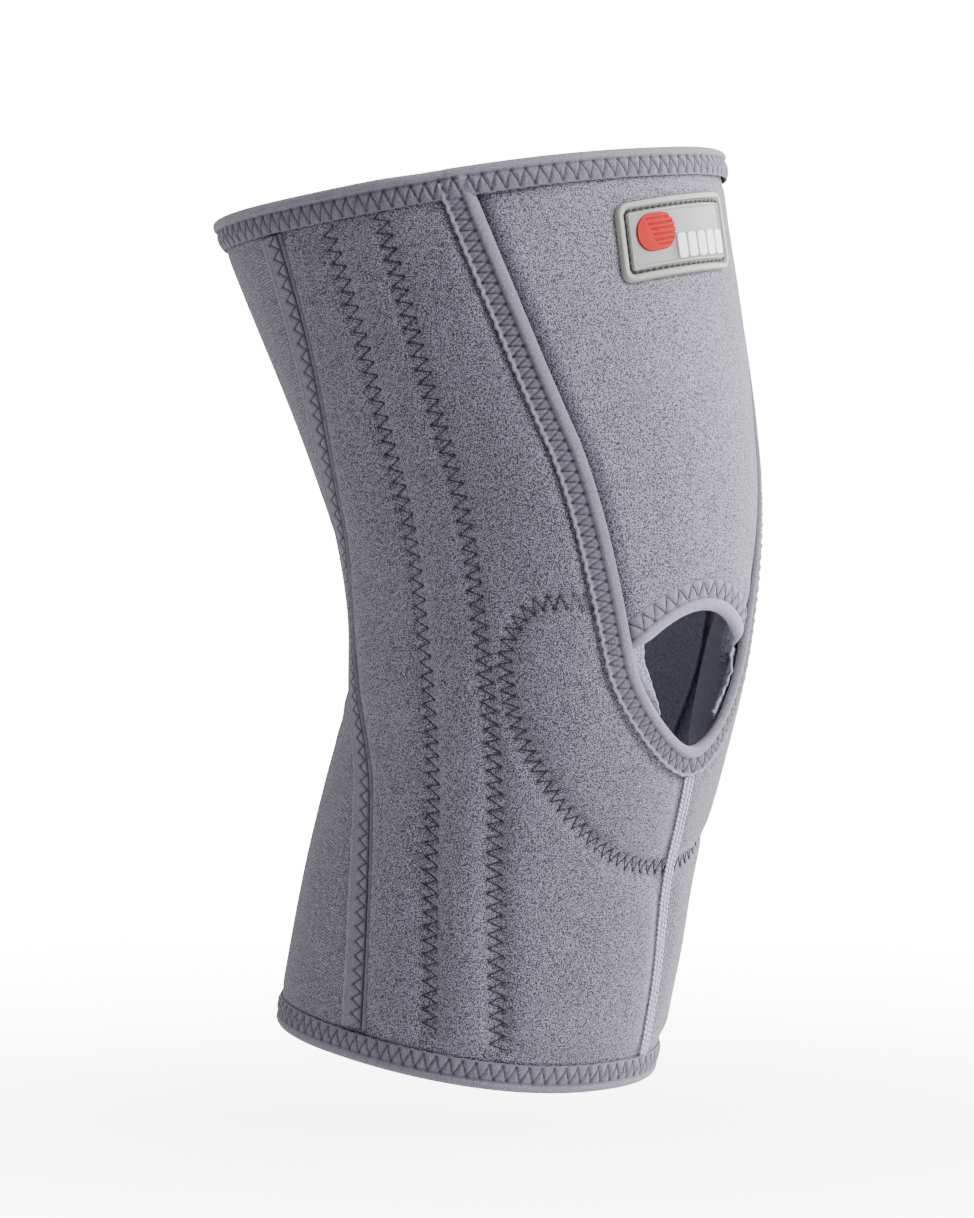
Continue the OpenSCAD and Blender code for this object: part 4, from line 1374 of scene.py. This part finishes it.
def rounded_gap(x, y, l, h, r):
    """Distance outside a rounded rectangle, negative inside."""
    dx, dy = np.abs(x) - (l / 2 - r), np.abs(y) - (h / 2 - r)
    return np.hypot(np.maximum(dx, 0), np.maximum(dy, 0)) + np.minimum(np.maximum(dx, dy), 0) - r


def badge_cover(q, s):
    """1 under the badge, where it presses the fabric in."""
    x, y = badge_axes(q, s)
    return smooth(1.5, -1.0, rounded_gap(x, y, BADGE_L, BADGE_H, BADGE_R))


def badge_rim_shadow(q, s):
    x, y = badge_axes(q, s)
    return bump(rounded_gap(x, y, BADGE_L, BADGE_H, BADGE_R) - 0.1, 0.5)


def plate(name, length, high, r, height, material, centre=(0, 0), bottom=0.0, count=200):
    """Moulded plate: rings from the outline to the centre, raised by height(x, y)."""
    ex, ey, _ = rounded_outline(length, high, r, count)
    rings = np.concatenate([np.linspace(1, 0.55, 44), np.linspace(0.55, 0.02, 14)[1:]])
    x = ex[:, None] * rings[None, :] + centre[0]
    y = ey[:, None] * rings[None, :] + centre[1]
    top = badge_place(x, y, BADGE_BASE + height(x, y))
    low = badge_place(x, y, BADGE_BASE + bottom + 0 * x)
    return shell(name, top, low, [material], loop=True)


EMBLEM_L, EMBLEM_H, EMBLEM_R, EMBLEM_LEVEL = 16, 12, 5.9, 2.65
BAR_W, BAR_H, BAR_STEP, BAR_LEVEL = 3.9, 7.8, 4.95, 2.75
RAISED_FOOT = 1.8          # height at which the emblem and the bars start


def make_badge():
    rim_in, field_in = RIM_W + GROOVE_W, RIM_W + GROOVE_W + 0.8

    def base_height(x, y):
        gap = -rounded_gap(x, y, BADGE_L, BADGE_H, BADGE_R)
        rise = 2.3 * smooth(-0.05, 0.25, gap) + 0.12 * bump(gap - 1.0, 0.6)
        groove = smooth(RIM_W - 0.2, RIM_W + 0.1, gap) * smooth(rim_in + 0.2, rim_in - 0.1, gap)
        return rise - 1.1 * groove - 0.5 * smooth(field_in - 0.1, field_in + 0.2, gap)

    def flat(level):
        return lambda x, y: level + 0 * x

    base = plate("badge_plate", BADGE_L, BADGE_H, BADGE_R, base_height, M["badge"])
    hold(base, "badge_base", slot="badge_rubber")
    inset = 2 * field_in + 0.4
    field = plate("badge_inset_face", BADGE_L - inset, BADGE_H - inset, 1.6, flat(1.95), M["badge_field"],
                  bottom=1.6)
    hold(field, "badge_field", slot="badge_inset")

    def emblem_height(x, y):
        """Flat, with slanting grooves that start left of the middle."""
        return EMBLEM_LEVEL - 0.5 * (np.abs(y % 1.7 - 0.85) < 0.3) * (x > -13.5 - 0.4 * y)

    red = plate("badge_red_emblem", EMBLEM_L, EMBLEM_H, EMBLEM_R, emblem_height, M["red"],
                centre=(-11.6, 1.8), bottom=RAISED_FOOT)
    hold(red, "badge_emblem", slot="badge_red")
    bars = [
        plate(f"badge_bar_{i}", BAR_W, BAR_H, 1, flat(BAR_LEVEL), M["white"],
              centre=(-1.2 + BAR_STEP * i, -3.8), bottom=RAISED_FOOT, count=60)
        for i in range(5)
    ]
    merge(bars, "badge_white_bars")
    hold(bars[0], "badge_bars", slot="badge_white")
    # long beads of thread in the groove of the rim
    inset = 2 * RIM_W + GROOVE_W
    x, y, mm = rounded_outline(BADGE_L - inset, BADGE_H - inset, BADGE_R - inset / 2 + 0.8, 1100)
    beat = np.abs(np.sin(np.pi * mm / 2.6)) ** 0.4
    line = badge_place(x, y, BADGE_BASE + 1.35 + 0.3 * beat)
    line, beat = np.concatenate([line, line[:1]]), np.append(beat, beat[0])
    hold(tubes("badge_stitching", [line], [0.14 + 0.32 * beat], M["thread"]), slot="badge_rubber")


def merge(pieces, name):
    """Joins pieces into the first one."""
    with bpy.context.temp_override(active_object=pieces[0], selected_editable_objects=pieces):
        bpy.ops.object.join()
    pieces[0].name = name


# ---- stage, light and camera ----

def lowest_reach():
    """Lowest z in metres of the calf's bottom edge with the leg straight."""
    q = np.linspace(-180, 180, 181)
    edge = wall(q, bottom_edge(q), 1.0) * MM
    turn = STRAIGHT_LEG * DEG
    return float((edge[:, 1] * math.sin(turn) + edge[:, 2] * math.cos(turn)).min())


def make_floor(lowest):
    """Floor just under the part, low enough for the straight leg too."""
    height = min(lowest, lowest_reach() - LOW_TAPE.roll * MM) - 0.0005
    bpy.ops.mesh.primitive_plane_add(size=60.0, location=(0, 0, height))
    floor = bpy.context.object
    floor.name = "floor"
    floor.data.materials.append(plain_floor("pale_floor"))


def direction(azimuth, elevation):
    """Unit vector away from the knee, for angles in degrees."""
    az, el = azimuth * DEG, elevation * DEG
    return Vector((math.sin(az) * math.cos(el), -math.cos(az) * math.cos(el), math.sin(el)))


def looking(name, data, back, place):
    """New object at a place, that looks along -back."""
    thing = bpy.data.objects.new(name, data)
    thing.location = place
    thing.rotation_mode = "QUATERNION"
    thing.rotation_quaternion = (-back).to_track_quat("-Z", "Y")
    bpy.context.scene.collection.objects.link(thing)
    return thing


def area(name, azimuth, elevation, distance, size, power):
    """Soft white light that looks at the knee."""
    data = bpy.data.lights.new(name, "AREA")
    data.shape, data.size, data.energy = "DISK", size, power
    back = direction(azimuth, elevation)
    looking(name, data, back, back * distance)


CAMERA_AZ, CAMERA_EL, CAMERA_FAR, SENSOR_MM = -47, 3, 1.8, 36
FRAME_HEIGHT_AT_KNEE = 0.3873            # metres of height that the picture covers at the knee
KNEE_RIGHT, KNEE_DOWN = 0.0197, 0.0114   # how far the knee sits from the picture's middle


def make_camera():
    back = direction(CAMERA_AZ, CAMERA_EL)
    right = Vector((math.cos(CAMERA_AZ * DEG), math.sin(CAMERA_AZ * DEG), 0))
    data = bpy.data.cameras.new("camera")
    data.sensor_fit, data.sensor_width = "AUTO", SENSOR_MM
    data.lens = SENSOR_MM * CAMERA_FAR / FRAME_HEIGHT_AT_KNEE
    data.clip_start, data.clip_end = 0.05, 50
    place = back * CAMERA_FAR - right * KNEE_RIGHT + back.cross(right) * KNEE_DOWN
    bpy.context.scene.camera = looking("camera", data, back, place)


def make_light():
    world = bpy.data.worlds.new("studio")
    world.use_nodes = True
    tree = world.node_tree
    background = tree.nodes["Background"]
    background.inputs[0].default_value = (1, 1, 1, 1)
    seen = tree.nodes.new("ShaderNodeLightPath").outputs["Is Camera Ray"]
    power = tree.nodes.new("ShaderNodeMapRange")
    power.inputs["To Min"].default_value = AMBIENT
    power.inputs["To Max"].default_value = BACKDROP
    tree.links.new(seen, power.inputs["Value"])
    tree.links.new(power.outputs[0], background.inputs[1])
    bpy.context.scene.world = world
    area("key", 17, 28, 2.2, 1.1, 66)
    area("rim", 75, 15, 2.2, 1.0, 84)
    area("back_fill", -150, 20, 2.2, 1.2, 9)
    area("top", -40, 80, 2.0, 0.8, 18)


# ---- build ----

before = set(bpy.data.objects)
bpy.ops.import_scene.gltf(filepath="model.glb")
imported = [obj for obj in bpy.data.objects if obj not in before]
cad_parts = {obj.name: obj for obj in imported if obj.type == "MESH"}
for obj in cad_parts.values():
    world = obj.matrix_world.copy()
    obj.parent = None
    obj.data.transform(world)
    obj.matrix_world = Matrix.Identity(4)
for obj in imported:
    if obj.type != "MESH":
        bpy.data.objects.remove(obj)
cad_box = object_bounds()

for make in (
    make_side_panels, make_back_panel, make_front_panel, make_opening_binding, make_hem, make_cuffs,
    make_rear_tapes, make_front_seam, make_panel_threads, make_linings, make_badge, make_stays,
    make_stay_caps, make_pockets, make_pad,
):
    make()
make_floor(cad_box[0].z)
make_light()
make_camera()
